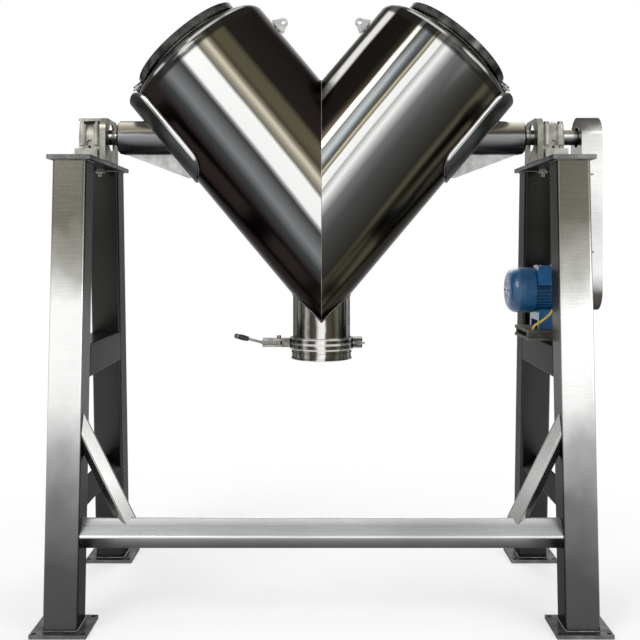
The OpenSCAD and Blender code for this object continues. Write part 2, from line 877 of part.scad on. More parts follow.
// Each belt lies in its grooves with a small gap all round
module drive_belts() {
    pitch = pulley_w / groove_count;
    inner_r = pulley_d / 2 - groove_h + 2 * seat_gap;
    outer_r = pulley_d / 2 + belt_proud;
    belt_w = groove_w * groove_floor_share - 2 * seat_gap;
    color([0.1, 0.1, 0.1]) for (i = [0:groove_count - 1])
        on_guard(pulley_x + pitch * (i + 0.5) - belt_w / 2) linear_extrude(belt_w) difference() {
            guard_outline(outer_r);
            guard_outline(inner_r);
        }
}

cowl_len = 85;
cowl_wall = 2.5;
body_x0 = motor_x + cowl_len;
body_len = 76;
body_x1 = body_x0 + body_len;
gear_w = 60;
gear_r = 64;
gear_boss_r = 44;
rail_top_z = rail_h + post_w / 2;
bracket_t = 10;
gear_foot_t = 14;
gear_web_w = 76;
gear_web_inset = 7;
bracket_out = 35;
bracket_rib_in = 20;
gear_axis_h = 124;
bracket_top_z = motor_h - gear_axis_h;
bracket_x0 = body_x0 - bracket_out;
bracket_depth = 210;

module motor_bracket() {
    len = frame_x + post_w / 2 - bracket_x0;
    color(dark_steel) translate([bracket_x0, -bracket_depth / 2, rail_top_z]) {
        cube([len, bracket_depth, bracket_t]);
        translate([0, 0, bracket_top_z - rail_top_z - bracket_t]) cube([len, bracket_depth, bracket_t]);
        for (y = [bracket_rib_in, bracket_depth - bracket_rib_in - bracket_t]) translate([0, y, 0])
            cube([len, bracket_t, bracket_top_z - rail_top_z]);
    }
}

module along_motor(x) {
    translate([x, 0, motor_h]) rotate([0, 90, 0]) children();
}

module gearbox() {
    color(blue) difference() {
        union() {
            along_motor(body_x1) cylinder(r = gear_r, h = gear_w);
            along_motor(body_x1 + gear_w) cylinder(r = gear_boss_r, h = guard_x - body_x1 - gear_w);
            translate([body_x1, -gear_r, bracket_top_z]) cube([frame_in_x + post_w - body_x1, 2 * gear_r, gear_foot_t]);
            translate([body_x1 + gear_web_inset, -gear_web_w / 2, bracket_top_z])
                cube([gear_w - 2 * gear_web_inset, gear_web_w, gear_axis_h]);
        }
        along_motor(body_x1 + gear_w / 2) cylinder(d = gear_shaft_d + 2 * run_fit, h = guard_x);
    }
}

module gearbox_shaft() {
    x0 = body_x1 + gear_w / 2 + seat_gap;
    color(steel) along_motor(x0) cylinder(d = gear_shaft_d, h = drive_out_x - x0);
}

fin_count = 40;
fin_h = 9;
fin_t = 3;
end_ring_t = 8;
motor_foot_len = 52;
motor_foot_gap = 90;
fan_shaft_d = 16;
fan_shaft_in = 30;

core_r = motor_d / 2 - fin_h;
box_saddle_r = motor_d / 2 + over;

module motor_body() {
    color(blue) {
        along_motor(body_x0) difference() {
            cylinder(r = core_r, h = body_len);
            translate([0, 0, -over]) cylinder(d = fan_shaft_d + 2 * run_fit, h = fan_shaft_in + over);
        }
        along_motor(body_x1 - end_ring_t) cylinder(r = motor_d / 2, h = end_ring_t);
        along_motor(body_x0) for (i = [0:fin_count - 1]) rotate(360 * i / fin_count)
            translate([core_r - over, -fin_t / 2, 0]) cube([fin_h, fin_t, body_len]);
        intersection() {
            along_motor(body_x0 + fin_t) cylinder(r = box_saddle_r, h = box_len);
            terminal_box_block();
        }
        difference() {
            translate([body_x0 + end_ring_t, -gear_r, bracket_top_z])
                cube([motor_foot_len, 2 * gear_r, gear_axis_h / 2]);
            along_motor(motor_x) cylinder(r = core_r, h = guard_x);
            translate([motor_x, -motor_foot_gap / 2, bracket_top_z - over])
                cube([guard_x, motor_foot_gap, 2 * gear_foot_t]);
        }
    }
}

// Rounded cowl over the fan, open in slots at its end
vent_count = 8;
vent_w = 5;
vent_len = 24;
vent_in = 15;
cowl_bend = 34;

module motor_fan_cowl() {
    r = cowl_d / 2;
    bend = cowl_bend;
    steps = 6;
    color(blue) translate([motor_x, 0, motor_h]) rotate([0, 90, 0]) difference() {
        rotate_extrude() polygon(concat(
            [for (i = [0:steps]) let (a = 90 * i / steps) [r - bend + bend * sin(a), bend - bend * cos(a)]],
            [[r, cowl_len], [r - cowl_wall, cowl_len]],
            [for (i = [0:steps]) let (a = 90 - 90 * i / steps)
                [r - bend + (bend - cowl_wall) * sin(a), bend - (bend - cowl_wall) * cos(a)]],
            [[0, cowl_wall], [0, 0]]));
        for (i = [0:vent_count - 1]) rotate(360 * i / vent_count) translate([vent_in, -vent_w / 2, -over])
            cube([vent_len, vent_w, cowl_wall + 2 * over]);
    }
}

fan_r = 52;
fan_blades = 6;
fan_hub_r = 14;
fan_blade_t = 3;
fan_blade_l = 30;
fan_in = 22;

module motor_fan() {
    x0 = motor_x + fan_in;
    color("black") along_motor(x0) {
        cylinder(r = fan_hub_r, h = body_x0 - x0 - seat_gap);
        cylinder(d = fan_shaft_d, h = body_x0 - x0 + fan_shaft_in - seat_gap);
        for (i = [0:fan_blades - 1]) rotate(360 * i / fan_blades)
            translate([fan_hub_r - over, -fan_blade_t / 2, 0]) cube([fan_r - fan_hub_r, fan_blade_t, fan_blade_l]);
    }
}

box_len = 62;
box_w = 74;
box_front = 84;
box_h = 64;
box_top = 82;

module terminal_box_block() {
    translate([body_x0 + fin_t, -box_front, motor_h + box_top - box_h]) cube([box_len, box_w, box_h]);
}

module terminal_box() {
    color(blue) difference() {
        terminal_box_block();
        along_motor(motor_x) cylinder(r = box_saddle_r, h = guard_x);
    }
}

// Yellow cable from the motor down to the bracket
cable_d = 8;
cable_route = [[750, -78, 1011.7], [750, -78, 1004], [750, -82, 984], [751, -89, 958], [748, -92, 938],
    [738, -92, 922], [724, -92, 908], [708, -92, 896], [694, -92, 888], [685, -92, 881], [682, -92, 874],
    [682, -92, 870.3]];

module cable_tube(route, d, sides = 12) {
    n = len(route);
    dir = function(i) let (a = route[max(i - 1, 0)], b = route[min(i + 1, n - 1)]) (b - a) / norm(b - a);
    side = [1, 0, 0];
    pts = [for (i = [0:n - 1], k = [0:sides - 1])
        let (t = dir(i), u = cross(t, side) / norm(cross(t, side)), v = cross(t, u), a = 360 * k / sides)
        route[i] + d / 2 * (cos(a) * u + sin(a) * v)];
    faces = concat(
        [[for (k = [0:sides - 1]) k]],
        [for (i = [0:n - 2], k = [0:sides - 1]) let (p = i * sides + k, q = i * sides + (k + 1) % sides)
            [p, p + sides, q + sides, q]],
        [[for (k = [sides - 1:-1:0]) (n - 1) * sides + k]]);
    polyhedron(pts, faces);
}

module motor_cable() {
    color("gold") cable_tube(cable_route, cable_d);
}

// Feet that carry the guard's back plate from the post and the top plate
guard_foot_w = 40;

module guard_brackets() {
    color(steel) for (s = [-1, 1])
        translate([frame_x + top_w / 2, s * guard_r / 2 - guard_foot_w / 4, post_top_z])
            cube([guard_x - frame_x - top_w / 2, guard_foot_w / 2, top_t]);
}

left_leg_shell();
right_leg_shell();
outlet_tube();
left_cover();
right_cover();
left_cover_gasket();
right_cover_gasket();
left_cover_band();
right_cover_band();
band_screws();
left_cover_wing_nut();
right_cover_wing_nut();
outlet_wing_nut();
outlet_gasket();
outlet_cap();
outlet_band();
clamp_block();
clamp_lever();
lifting_lugs();
left_saddle_pad();
right_saddle_pad();
trunnion_sleeves();
trunnion_gussets();
left_stub_shaft();
right_drive_shaft();
left_front_post();
left_rear_post();
right_front_post();
right_rear_post();
top_plates();
upper_side_rails();
lower_side_rails();
stretcher();
stretcher_braces();
foot_plates();
bearing_bases();
bearing_caps();
bearing_outer_rings();
bearing_rollers();
bearing_inner_rings();
bearing_bolts();
cap_bolts();
left_shaft_shield();
right_shaft_shield();
guard_back();
guard_cover();
guard_screws();
shaft_pulley();
motor_pulley();
drive_belts();
motor_bracket();
gearbox();
gearbox_shaft();
motor_body();
motor_fan_cowl();
motor_fan();
terminal_box();
motor_cable();
guard_brackets();
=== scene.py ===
"""Looks of a V-blender: mirror-polished twin drums on a welded stand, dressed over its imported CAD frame."""

import logging
import math
from dataclasses import dataclass
from enum import Enum, IntEnum
from typing import Callable, Iterable, Protocol, Sequence

import bpy
import bmesh
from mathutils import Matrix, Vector


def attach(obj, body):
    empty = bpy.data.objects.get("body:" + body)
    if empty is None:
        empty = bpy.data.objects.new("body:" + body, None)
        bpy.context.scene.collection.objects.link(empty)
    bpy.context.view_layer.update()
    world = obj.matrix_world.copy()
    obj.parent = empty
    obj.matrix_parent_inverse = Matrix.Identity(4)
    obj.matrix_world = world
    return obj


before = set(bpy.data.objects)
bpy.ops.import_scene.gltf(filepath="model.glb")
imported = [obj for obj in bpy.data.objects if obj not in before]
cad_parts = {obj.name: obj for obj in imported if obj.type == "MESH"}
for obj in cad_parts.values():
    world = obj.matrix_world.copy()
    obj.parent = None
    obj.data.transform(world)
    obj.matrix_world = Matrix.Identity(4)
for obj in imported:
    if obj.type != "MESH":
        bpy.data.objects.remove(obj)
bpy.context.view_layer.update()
log = logging.getLogger("v_blender")

Colour = tuple[float, float, float]
Point = tuple[float, float, float]
Stops = tuple[tuple[float, Colour], ...]
Path = tuple[Sequence[Point], bool]

# Driving sizes of the part, in metres, which place what is added to the frame.
SHAFT_H = 1.500
MITRE_H = 1.278
LEG_R = 0.265
LEG_LEN = 0.612
TILT = math.radians(40)
COVER_R = 0.182
PAD_R = 0.273
PAD_AT = 0.490
PAD_SIDE = 0.330
PAD_CORNER = 0.060
SLEEVE_R = 0.055
OUTLET_R = 0.095
FRAME_X = 0.766
POST_W = 0.102
POST_LEAN = math.radians(4.2)
POST_TOP = 1.404
POST_GAP = 0.334
FOOT_T = 0.012
BEARING_X = 0.757
STRETCHER_H = 0.280
STRETCHER_HALF = 0.045
LEVER_PIVOT = (-0.1413, 0.0, 0.8195)
LEVER_RISE = math.radians(14)
MOTOR_H = 0.994


def grey(value: float) -> Colour:
    """Colour with equal parts."""
    return value, value, value


class Side(IntEnum):
    """Side of the part, as the sign of X there."""

    LEFT = -1
    RIGHT = 1


class Body(Enum):
    """Rigid bodies of the frame that carry added pieces."""

    STAND = "stand"
    VESSEL = "vessel"
    LEVER = "lever"


class Grain(Enum):
    """Direction in which a brushed face carries its grain."""

    LEVEL = "level"
    UPRIGHT = "upright"


# Shader maths


class Sock:
    """A socket that takes Python arithmetic and adds the Math nodes for it."""

    def __init__(self, tree: "Tree", socket: bpy.types.NodeSocket) -> None:
        """Wraps an output socket of a tree."""
        self.tree = tree
        self.socket = socket

    def _math(self, operation: str, *values: "Sock | float") -> "Sock":
        """Adds one Math node with these values in its sockets, in order."""
        return self.tree.node("ShaderNodeMath", {"operation": operation}, dict(enumerate(values)))

    def __add__(self, other: "Sock | float") -> "Sock":
        """Adds."""
        return self._math("ADD", self, other)

    __radd__ = __add__

    def __sub__(self, other: "Sock | float") -> "Sock":
        """Subtracts."""
        return self._math("SUBTRACT", self, other)

    def __rsub__(self, other: "Sock | float") -> "Sock":
        """Subtracts this from another value."""
        return self._math("SUBTRACT", other, self)

    def __mul__(self, other: "Sock | float") -> "Sock":
        """Multiplies."""
        return self._math("MULTIPLY", self, other)

    __rmul__ = __mul__

    def __truediv__(self, other: "Sock | float") -> "Sock":
        """Divides."""
        return self._math("DIVIDE", self, other)

    def absolute(self) -> "Sock":
        """Size without sign."""
        return self._math("ABSOLUTE", self)

    def root(self) -> "Sock":
        """Square root."""
        return self._math("SQRT", self)

    def most(self, other: "Sock | float") -> "Sock":
        """The larger of two values."""
        return self._math("MAXIMUM", self, other)

    def step(self, low: float, high: float) -> "Sock":
        """Smooth step from 0 at the low value to 1 at the high one."""
        values = {"Value": self, "From Min": low, "From Max": high}
        return self.tree.node("ShaderNodeMapRange", {"interpolation_type": "SMOOTHSTEP"}, values)

    def band(self, middle: float, half: float, soft: float) -> "Sock":
        """1 within half a width of the middle, and down to 0 over the soft edge outside it."""
        return 1 - (self - middle).absolute().step(half, half + soft)


class Tree:
    """A node tree under construction, of a material, of the world or of Geometry Nodes."""

    def __init__(self, tree: bpy.types.NodeTree) -> None:
        """Takes over a tree of Blender's."""
        self.nodes = tree.nodes
        self.links = tree.links

    def node(self, kind: str, settings: dict | None = None, values: dict | None = None,
             output: str | int = 0) -> Sock:
        """Adds any node.

        Args:
            kind: Blender's type name of the node.
            settings: Settings made before its sockets are filled.
            values: Value or link for each socket, by name or number.
            output: Name or number of the output that is returned.

        Returns:
            The chosen output.
        """
        node = self.nodes.new(kind)
        for key, value in (settings or {}).items():
            setattr(node, key, value)
        for key, value in (values or {}).items():
            self.feed(node.inputs[key], value)
        return Sock(self, node.outputs[output])

    def feed(self, target: bpy.types.NodeSocket, value: Sock | tuple | float | None) -> None:
        """Links or sets one input.

        Args:
            target: The input.
            value: What goes in. A colour gets full alpha, and None leaves the input as it is.
        """
        if isinstance(value, Sock):
            self.links.new(value.socket, target)
        elif isinstance(value, tuple) and target.type == "RGBA":
            target.default_value = (*value[:3], 1.0)
        elif value is not None:
            target.default_value = value

    def seen(self) -> Sock:
        """1 on rays by which the camera sees a surface, also in a mirror or through glass."""
        direct, mirrored, through = (self.node("ShaderNodeLightPath", output=f"Is {ray} Ray")
                                     for ray in ("Camera", "Glossy", "Transmission"))
        return direct.most(mirrored).most(through)


@dataclass
class Shader(Tree):
    """A material under construction, on one Principled shader.

    Attributes:
        name: Name of the material.
        metallic: How metallic the surface is.
        coat: Weight of the clear coat.
        edge: Brightness of a metal face seen at a flat angle.
    """

    name: str
    metallic: float = 1.0
    coat: float = 0.0
    edge: float = 0.45

    def __post_init__(self) -> None:
        """Makes the material with its shader and its Object coordinates."""
        self.material = bpy.data.materials.new(self.name)
        self.material.use_nodes = True
        super().__init__(self.material.node_tree)
        self.principled = self.nodes["Principled BSDF"]
        self.feed(self.principled.inputs["Metallic"], self.metallic)
        self.feed(self.principled.inputs["Coat Weight"], self.coat)
        if self.metallic > 0.5:
            self.feed(self.principled.inputs["Specular Tint"], grey(self.edge))
        coordinates = self.nodes.new("ShaderNodeTexCoord")
        self.place = Sock(self, coordinates.outputs["Object"])
        self.facing = Sock(self, coordinates.outputs["Normal"])

    def axes(self) -> tuple[Sock, Sock, Sock]:
        """X, Y and Z of the Object coordinates."""
        return self._split(self.place)

    def turned(self) -> tuple[Sock, Sock, Sock]:
        """X, Y and Z of the surface's own direction."""
        return self._split(self.facing)

    def _split(self, vector: Sock) -> tuple[Sock, Sock, Sock]:
        """The three parts of a vector."""
        owner = self.node("ShaderNodeSeparateXYZ", values={"Vector": vector}).socket.node
        return tuple(Sock(self, part) for part in owner.outputs)

    def noise(self, scale: float, stretch: Point = (1, 1, 1), detail: float = 3.0) -> Sock:
        """Noise on Object coordinates.

        Args:
            scale: Cells per metre.
            stretch: Factor on each axis, smaller along a streak.
            detail: Number of octaves.

        Returns:
            A value around 0.5.
        """
        spread = self.node("ShaderNodeMapping", None, {"Vector": self.place, "Scale": stretch})
        return self.node("ShaderNodeTexNoise", {"noise_dimensions": "3D"},
                         {"Vector": spread, "Scale": scale, "Detail": detail})

    def ramp(self, value: Sock, stops: Stops) -> Sock:
        """Colours along a value.

        Args:
            value: Share from 0 to 1.
            stops: Place and colour of each stop, in order.

        Returns:
            The colour.
        """
        ramp = self.node("ShaderNodeValToRGB", None, {"Fac": value})
        elements = ramp.socket.node.color_ramp.elements
        while len(elements) < len(stops):
            elements.new(0.5)
        for element, (place, colour) in zip(elements, stops):
            element.position = place
            element.color = (*colour, 1.0)
        return ramp

    def mix(self, share: Sock | float, first: Sock | Colour, second: Sock | Colour) -> Sock:
        """Mixes two colours.

        Args:
            share: Share of the second colour.
            first: First colour.
            second: Second colour.

        Returns:
            The mixed colour.
        """
        node = self.nodes.new("ShaderNodeMix")
        node.data_type = "RGBA"
        colours = [s for s in node.inputs if s.type == "RGBA"]
        for target, value in zip((node.inputs["Factor"], *colours), (share, first, second)):
            self.feed(target, value)
        return Sock(self, next(s for s in node.outputs if s.type == "RGBA"))

    def tint(self, colour: Sock, by: Sock) -> Sock:
        """Multiplies a colour by a number."""
        return self.node("ShaderNodeVectorMath", {"operation": "SCALE"}, {0: colour, "Scale": by}, "Vector")

    def bump(self, height: Sock, strength: float, distance: float) -> Sock:
        """Normal of a height, given as a share of a distance in metres."""
        values = {"Height": height, "Strength": strength, "Distance": distance}
        return self.node("ShaderNodeBump", None, values, "Normal")

    def finish(self, colour: Sock | Colour, roughness: Sock | float,
               normal: Sock | None = None) -> bpy.types.Material:
        """Feeds the shader.

        Args:
            colour: Base colour.
            roughness: Roughness.
            normal: Normal, if the surface has a bump.

        Returns:
            The finished material.
        """
        for name, value in (("Base Color", colour), ("Roughness", roughness), ("Normal", normal)):
            self.feed(self.principled.inputs[name], value)
        return self.material


# Finishes


class Finish(Protocol):
    """A surface finish, which builds its own material."""

    def material(self) -> bpy.types.Material:
        """Builds the finish."""


# Painted reflections across each drum, from its outer side at 0 to the inside of the V at 1.
LEFT_DRUM_REFLECTIONS: Stops = (
    (0.0, (0.018, 0.013, 0.013)), (0.1, (0.022, 0.016, 0.015)), (0.2, (0.025, 0.02, 0.019)),
    (0.25, (0.05, 0.052, 0.054)), (0.3, (0.2, 0.21, 0.215)), (0.345, (0.13, 0.135, 0.138)),
    (0.39, (0.045, 0.045, 0.044)), (0.405, grey(0.3)), (0.42, (0.9, 0.9, 0.89)),
    (0.512, (0.92, 0.92, 0.91)), (0.53, (0.16, 0.15, 0.125)), (0.552, (0.3, 0.275, 0.21)),
    (0.58, (0.64, 0.59, 0.46)), (0.6, (0.24, 0.21, 0.15)), (0.62, (0.06, 0.05, 0.034)),
    (0.65, (0.09, 0.086, 0.05)), (0.7, (0.085, 0.08, 0.046)), (0.73, (0.018, 0.014, 0.012)),
    (0.88, (0.014, 0.011, 0.01)), (1.0, (0.012, 0.01, 0.009)),
)
RIGHT_DRUM_REFLECTIONS: Stops = (
    (0.0, (0.024, 0.02, 0.015)), (0.08, (0.032, 0.027, 0.02)), (0.125, (0.08, 0.072, 0.048)),
    (0.155, (0.026, 0.021, 0.016)), (0.195, (0.09, 0.083, 0.056)), (0.225, (0.026, 0.024, 0.019)),
    (0.3, (0.042, 0.042, 0.038)), (0.38, (0.066, 0.067, 0.065)), (0.45, (0.16, 0.163, 0.162)),
    (0.485, (0.48, 0.48, 0.475)), (0.515, (0.9, 0.9, 0.89)), (0.548, (0.4, 0.4, 0.395)),
    (0.556, (0.88, 0.88, 0.87)), (0.592, (0.88, 0.87, 0.85)), (0.6, (0.1, 0.088, 0.062)),
    (0.612, (0.54, 0.48, 0.32)), (0.622, (0.05, 0.052, 0.052)), (0.66, (0.105, 0.114, 0.116)),
    (0.698, (0.034, 0.034, 0.032)), (0.71, (0.85, 0.82, 0.73)), (0.72, (0.9, 0.88, 0.81)),
    (0.732, (0.04, 0.03, 0.02)), (0.77, (0.01, 0.008, 0.007)), (0.885, (0.01, 0.008, 0.007)),
    (0.9, (0.86, 0.85, 0.79)), (0.926, (0.9, 0.89, 0.86)), (0.94, (0.04, 0.034, 0.026)),
    (1.0, (0.008, 0.007, 0.006)),
)


def leg_places(shader: Shader, side: Side) -> tuple[Sock, Sock, Sock]:
    """Where a point lies on one drum.

    Args:
        shader: The shader that asks.
        side: Which drum.

    Returns:
        The length along the drum, the height across it towards the inside of the V, and the radius.
    """
    x, y, z = shader.axes()
    outward = x * side
    rise = z - MITRE_H
    along = outward * math.sin(TILT) + rise * math.cos(TILT)
    across = rise * math.sin(TILT) - outward * math.cos(TILT)
    radius = (across * across + y * y).root()
    return along, across, radius


@dataclass(frozen=True)
class MirrorDrum:
    """Mirror-polished drum with painted reflections along its length, which end at its head in painted shade
    and painted highlights.

    Attributes:
        side: Which drum.
        reflection_bands: Painted reflection colours across the drum, from its outer side to the inside of the
            V.
        roughness: Roughness of the polish.
        knuckle_soft: Length over which the painted reflections fade into the painted shade of the knuckle.
        painted_glint_at: Where the fine painted highlight line of the knuckle lies, past the drum's length.
        rim_painted_glint_at: Where the painted highlight line of the neck lies.
        cone_at: Where the sloped head begins.
    """

    side: Side
    reflection_bands: Stops
    roughness: float = 0.13
    knuckle_soft: float = 0.012
    painted_glint_at: float = 0.022
    rim_painted_glint_at: float = 0.062
    cone_at: float = 0.033

    def material(self) -> bpy.types.Material:
        """Builds the finish."""
        shader = Shader(f"drum_polish_reflections_{self.side.name.lower()}", edge=0.5)
        along, across, radius = leg_places(shader, self.side)
        wobble = (shader.noise(3.0, detail=2.0) - 0.5) * 0.035
        near_seam = 1 - along.step(-0.25, 0.35)
        share = across / radius.most(0.02)
        # Painted reflections: the ramp paints the room's reflections across the drum, fixed on its Object
        # coordinates.
        reflection_bands = shader.ramp((share + wobble + near_seam * 0.05) * 0.5 + 0.5, self.reflection_bands)
        grain = shader.noise(220.0, detail=4.0)
        past = along - LEG_LEN
        # Painted shade: past the drum's length the reflections darken to a near black knuckle and head; the
        # sloped head takes turned rings.
        knuckle = past.step(-0.002 - self.knuckle_soft, -0.002)
        shaded_head = shader.mix(0.25, (0.022, 0.02, 0.018), shader.tint(reflection_bands, 0.35 + 0.2 * grain))
        # Painted highlights: fine glint lines round the knuckle and the neck, broken up by noise, in pale
        # grey.
        painted_glints = past.band(self.painted_glint_at, 0.0025, 0.004).most(past.band(self.rim_painted_glint_at, 0.0020, 0.003))
        turned = shader.node("ShaderNodeTexNoise", {"noise_dimensions": "1D"}, {"W": radius, "Scale": 260.0})
        cone = past.step(self.cone_at, self.cone_at + 0.005)
        shaded_head = shader.mix(cone, shaded_head, shader.mix(turned, (0.1, 0.1, 0.098), (0.34, 0.34, 0.33)))
        painted_sparks = painted_glints * (0.06 + 0.70 * shader.noise(9.0, detail=1.0).step(0.46, 0.60))
        head = shader.mix(painted_sparks, shaded_head, (0.72, 0.72, 0.7))
        colour = shader.mix(knuckle, reflection_bands, head)
        mottled = shader.tint(colour, 0.94 + 0.12 * grain)
        rough = self.roughness + 0.10 * grain
        return shader.finish(mottled, rough, shader.bump(grain, 0.02, 0.0004))


@dataclass(frozen=True)
class SpunCover:
    """Spun cover with fine rings, two soft painted fans of light and a painted shade on its outer edge.

    Attributes:
        side: Which cover.
    """

    side: Side

    def material(self) -> bpy.types.Material:
        """Builds the finish."""
        shader = Shader(f"cover_{self.side.name.lower()}")
        _, across, radius = leg_places(shader, self.side)
        rings = shader.node("ShaderNodeTexNoise", {"noise_dimensions": "1D"}, {"W": radius, "Scale": 420.0})
        clouds = shader.noise(11.0, detail=3.0)
        # Painted highlight: two soft fans of light across the cover.
        fan = (across / radius.most(0.01)).absolute().step(0.55, 1.0)
        tone = shader.mix(fan * 0.6, (0.17, 0.17, 0.165), (0.55, 0.55, 0.54))
        # Painted shade: the cover's outer edge, past its radius, is near black.
        rim = 1 - radius.step(COVER_R - 0.002, COVER_R + 0.003)
        shaded_rim = shader.mix(rim, (0.03, 0.029, 0.027), tone)
        lit = shader.tint(shaded_rim, (0.80 + 0.40 * rings) * (0.90 + 0.20 * clouds))
        return shader.finish(lit, 0.16 + 0.14 * rings, shader.bump(rings, 0.06, 0.0003))


@dataclass(frozen=True)
class BrushedSteel:
    """Brushed stainless steel with painted reflections and shade that follow the height of the piece.

    Attributes:
        name: Name of the material.
        height_light_tones: Colours of the painted reflections and shade, from the lowest to the highest
            point.
        low: Height of the first tone.
        high: Height of the last tone.
        grain: Direction of the grain.
        side_shade: Share of light left on side faces that look towards the middle of the stand.
        away: Share of plain steel on faces that look outwards or backwards.
        roughness: Roughness of the brushed face.
    """

    name: str
    height_light_tones: Stops
    low: float = 0.0
    high: float = 1.42
    grain: Grain = Grain.LEVEL
    side_shade: float = 0.45
    away: float = 0.0
    roughness: float = 0.26

    def material(self) -> bpy.types.Material:
        """Builds the finish."""
        shader = Shader(self.name)
        x, _, z = shader.axes()
        across, back, _ = shader.turned()
        outward = across * x / x.absolute().most(0.01)
        stretch = {Grain.LEVEL: (0.03, 0.03, 1), Grain.UPRIGHT: (1, 1, 0.02)}
        scratches = shader.noise(420.0, stretch[self.grain], 3.0)
        clouds = shader.noise(7.0, (1, 1, 0.6), 3.0)
        height = (z - self.low) / (self.high - self.low) + (clouds - 0.5) * 0.16
        inward = (outward * -1).step(0.5, 0.95)
        hidden = outward.step(0.5, 0.95).most(back.step(0.5, 0.95)) * self.away
        # Painted reflections and shade by height; faces that look outwards or backwards get plain steel
        # instead.
        tone = shader.mix(hidden, shader.ramp(height, self.height_light_tones), (0.42, 0.42, 0.41))
        # Painted shade on side faces that look towards the middle of the stand.
        shade = 1 - (1 - self.side_shade) * inward
        lit = shade * (0.94 + 0.12 * scratches) * (0.92 + 0.16 * clouds)
        rough = self.roughness + 0.22 * (scratches - 0.5) + 0.10 * (clouds - 0.5)
        return shader.finish(shader.tint(tone, lit), rough, shader.bump(scratches, 0.10, 0.0006))


@dataclass(frozen=True)
class BarSteel:
    """Round polished piece on the shaft's axis, with painted reflections striped along its length.

    Attributes:
        name: Name of the material.
        reflection_stripes: Painted reflection colours from the underside to the top.
        roughness: Roughness of the surface.
    """

    name: str
    reflection_stripes: Stops
    roughness: float = 0.2

    def material(self) -> bpy.types.Material:
        """Builds the finish."""
        shader = Shader(self.name)
        _, y, z = shader.axes()
        rise = z - SHAFT_H
        share = rise / (rise * rise + y * y).root().most(0.002)
        turning = shader.noise(900.0, (1, 0.02, 0.02), 2.0)
        cloud = shader.noise(24.0, detail=3.0)
        # Painted reflections striped round the piece by its angle about the shaft.
        reflection_stripes = shader.ramp(share * 0.5 + 0.5 + (cloud - 0.5) * 0.05, self.reflection_stripes)
        lit = shader.tint(reflection_stripes, 0.86 + 0.28 * turning)
        rough = self.roughness + 0.16 * (cloud - 0.5) + 0.08 * turning
        return shader.finish(lit, rough, shader.bump(turning, 0.06, 0.0004))


@dataclass(frozen=True)
class RidgeSteel:
    """Brushed tube on its corner with painted light: pale lit upper flank, painted highlight on the ridge,
    shaded lower flank.
    """

    name: str = "stretcher_steel"

    def material(self) -> bpy.types.Material:
        """Builds the finish."""
        shader = Shader(self.name)
        _, _, z = shader.axes()
        clouds = shader.noise(5.0, (0.6, 1, 1), 3.0)
        scratches = shader.noise(420.0, (0.02, 1, 1), 3.0)
        share = (z - (STRETCHER_H - STRETCHER_HALF)) / (2 * STRETCHER_HALF)
        # Painted light by height: lit upper flank, painted highlight on the ridge, shaded lower flank.
        height_light_tones = ((0.0, grey(0.1)), (0.3, (0.2, 0.2, 0.21)), (0.47, (0.34, 0.34, 0.35)),
                 (0.495, (0.8, 0.8, 0.79)), (0.52, (0.8, 0.8, 0.79)), (0.56, (0.42, 0.43, 0.43)),
                 (0.8, (0.36, 0.37, 0.37)), (0.95, (0.58, 0.58, 0.57)), (1.0, (0.62, 0.62, 0.61)))
        lit = (0.72 + 0.5 * clouds) * (0.84 + 0.32 * scratches)
        return shader.finish(shader.tint(shader.ramp(share, height_light_tones), lit), 0.24 + 0.2 * (scratches - 0.3),
                             shader.bump(scratches, 0.08, 0.0005))


@dataclass(frozen=True)
class OutletPolish:
    """Mirror-polished ring, tube and cap about the upright axis, with painted reflections striped round it
    and painted highlight lines at its edges.
    """

    name: str = "outlet_polish_reflections"
    roughness: float = 0.14
    joint_z: float = 0.82
    edges_z: tuple[float, float] = (0.802, 0.837)

    def material(self) -> bpy.types.Material:
        """Builds the finish."""
        shader = Shader(self.name)
        x, y, z = shader.axes()
        share = x / (x * x + y * y).root().most(0.01)
        wave = (shader.noise(9.0, (1, 1, 2.5), 2.0) - 0.5) * 0.10
        stops = ((0.0, (0.045, 0.04, 0.035)), (0.1, (0.26, 0.26, 0.23)), (0.16, (0.028, 0.024, 0.02)),
                 (0.24, (0.4, 0.39, 0.35)), (0.32, (0.045, 0.04, 0.035)), (0.4, (0.075, 0.07, 0.06)),
                 (0.455, (0.8, 0.8, 0.78)), (0.535, (0.9, 0.9, 0.89)), (0.575, (0.085, 0.075, 0.06)),
                 (0.7, (0.036, 0.032, 0.024)), (0.8, (0.15, 0.145, 0.11)), (0.88, (0.05, 0.045, 0.036)),
                 (0.95, (0.3, 0.3, 0.28)), (1.0, (0.05, 0.045, 0.04)))
        # Painted reflections striped round the upright axis.
        reflection_stripes = shader.ramp(share * 0.5 + 0.5 + wave, stops)
        # Painted highlights: bright lines at the joint and at the edges of the rings.
        edges = z.band(self.joint_z, 0.0025, 0.002)
        for height in self.edges_z:
            edges = edges.most(z.band(height, 0.002, 0.002))
        colour = shader.mix(edges * 0.7, reflection_stripes, (0.75, 0.74, 0.7))
        grain = shader.noise(260.0, detail=4.0)
        return shader.finish(shader.tint(colour, 0.92 + 0.16 * grain), self.roughness + 0.1 * grain,
                             shader.bump(grain, 0.02, 0.0004))


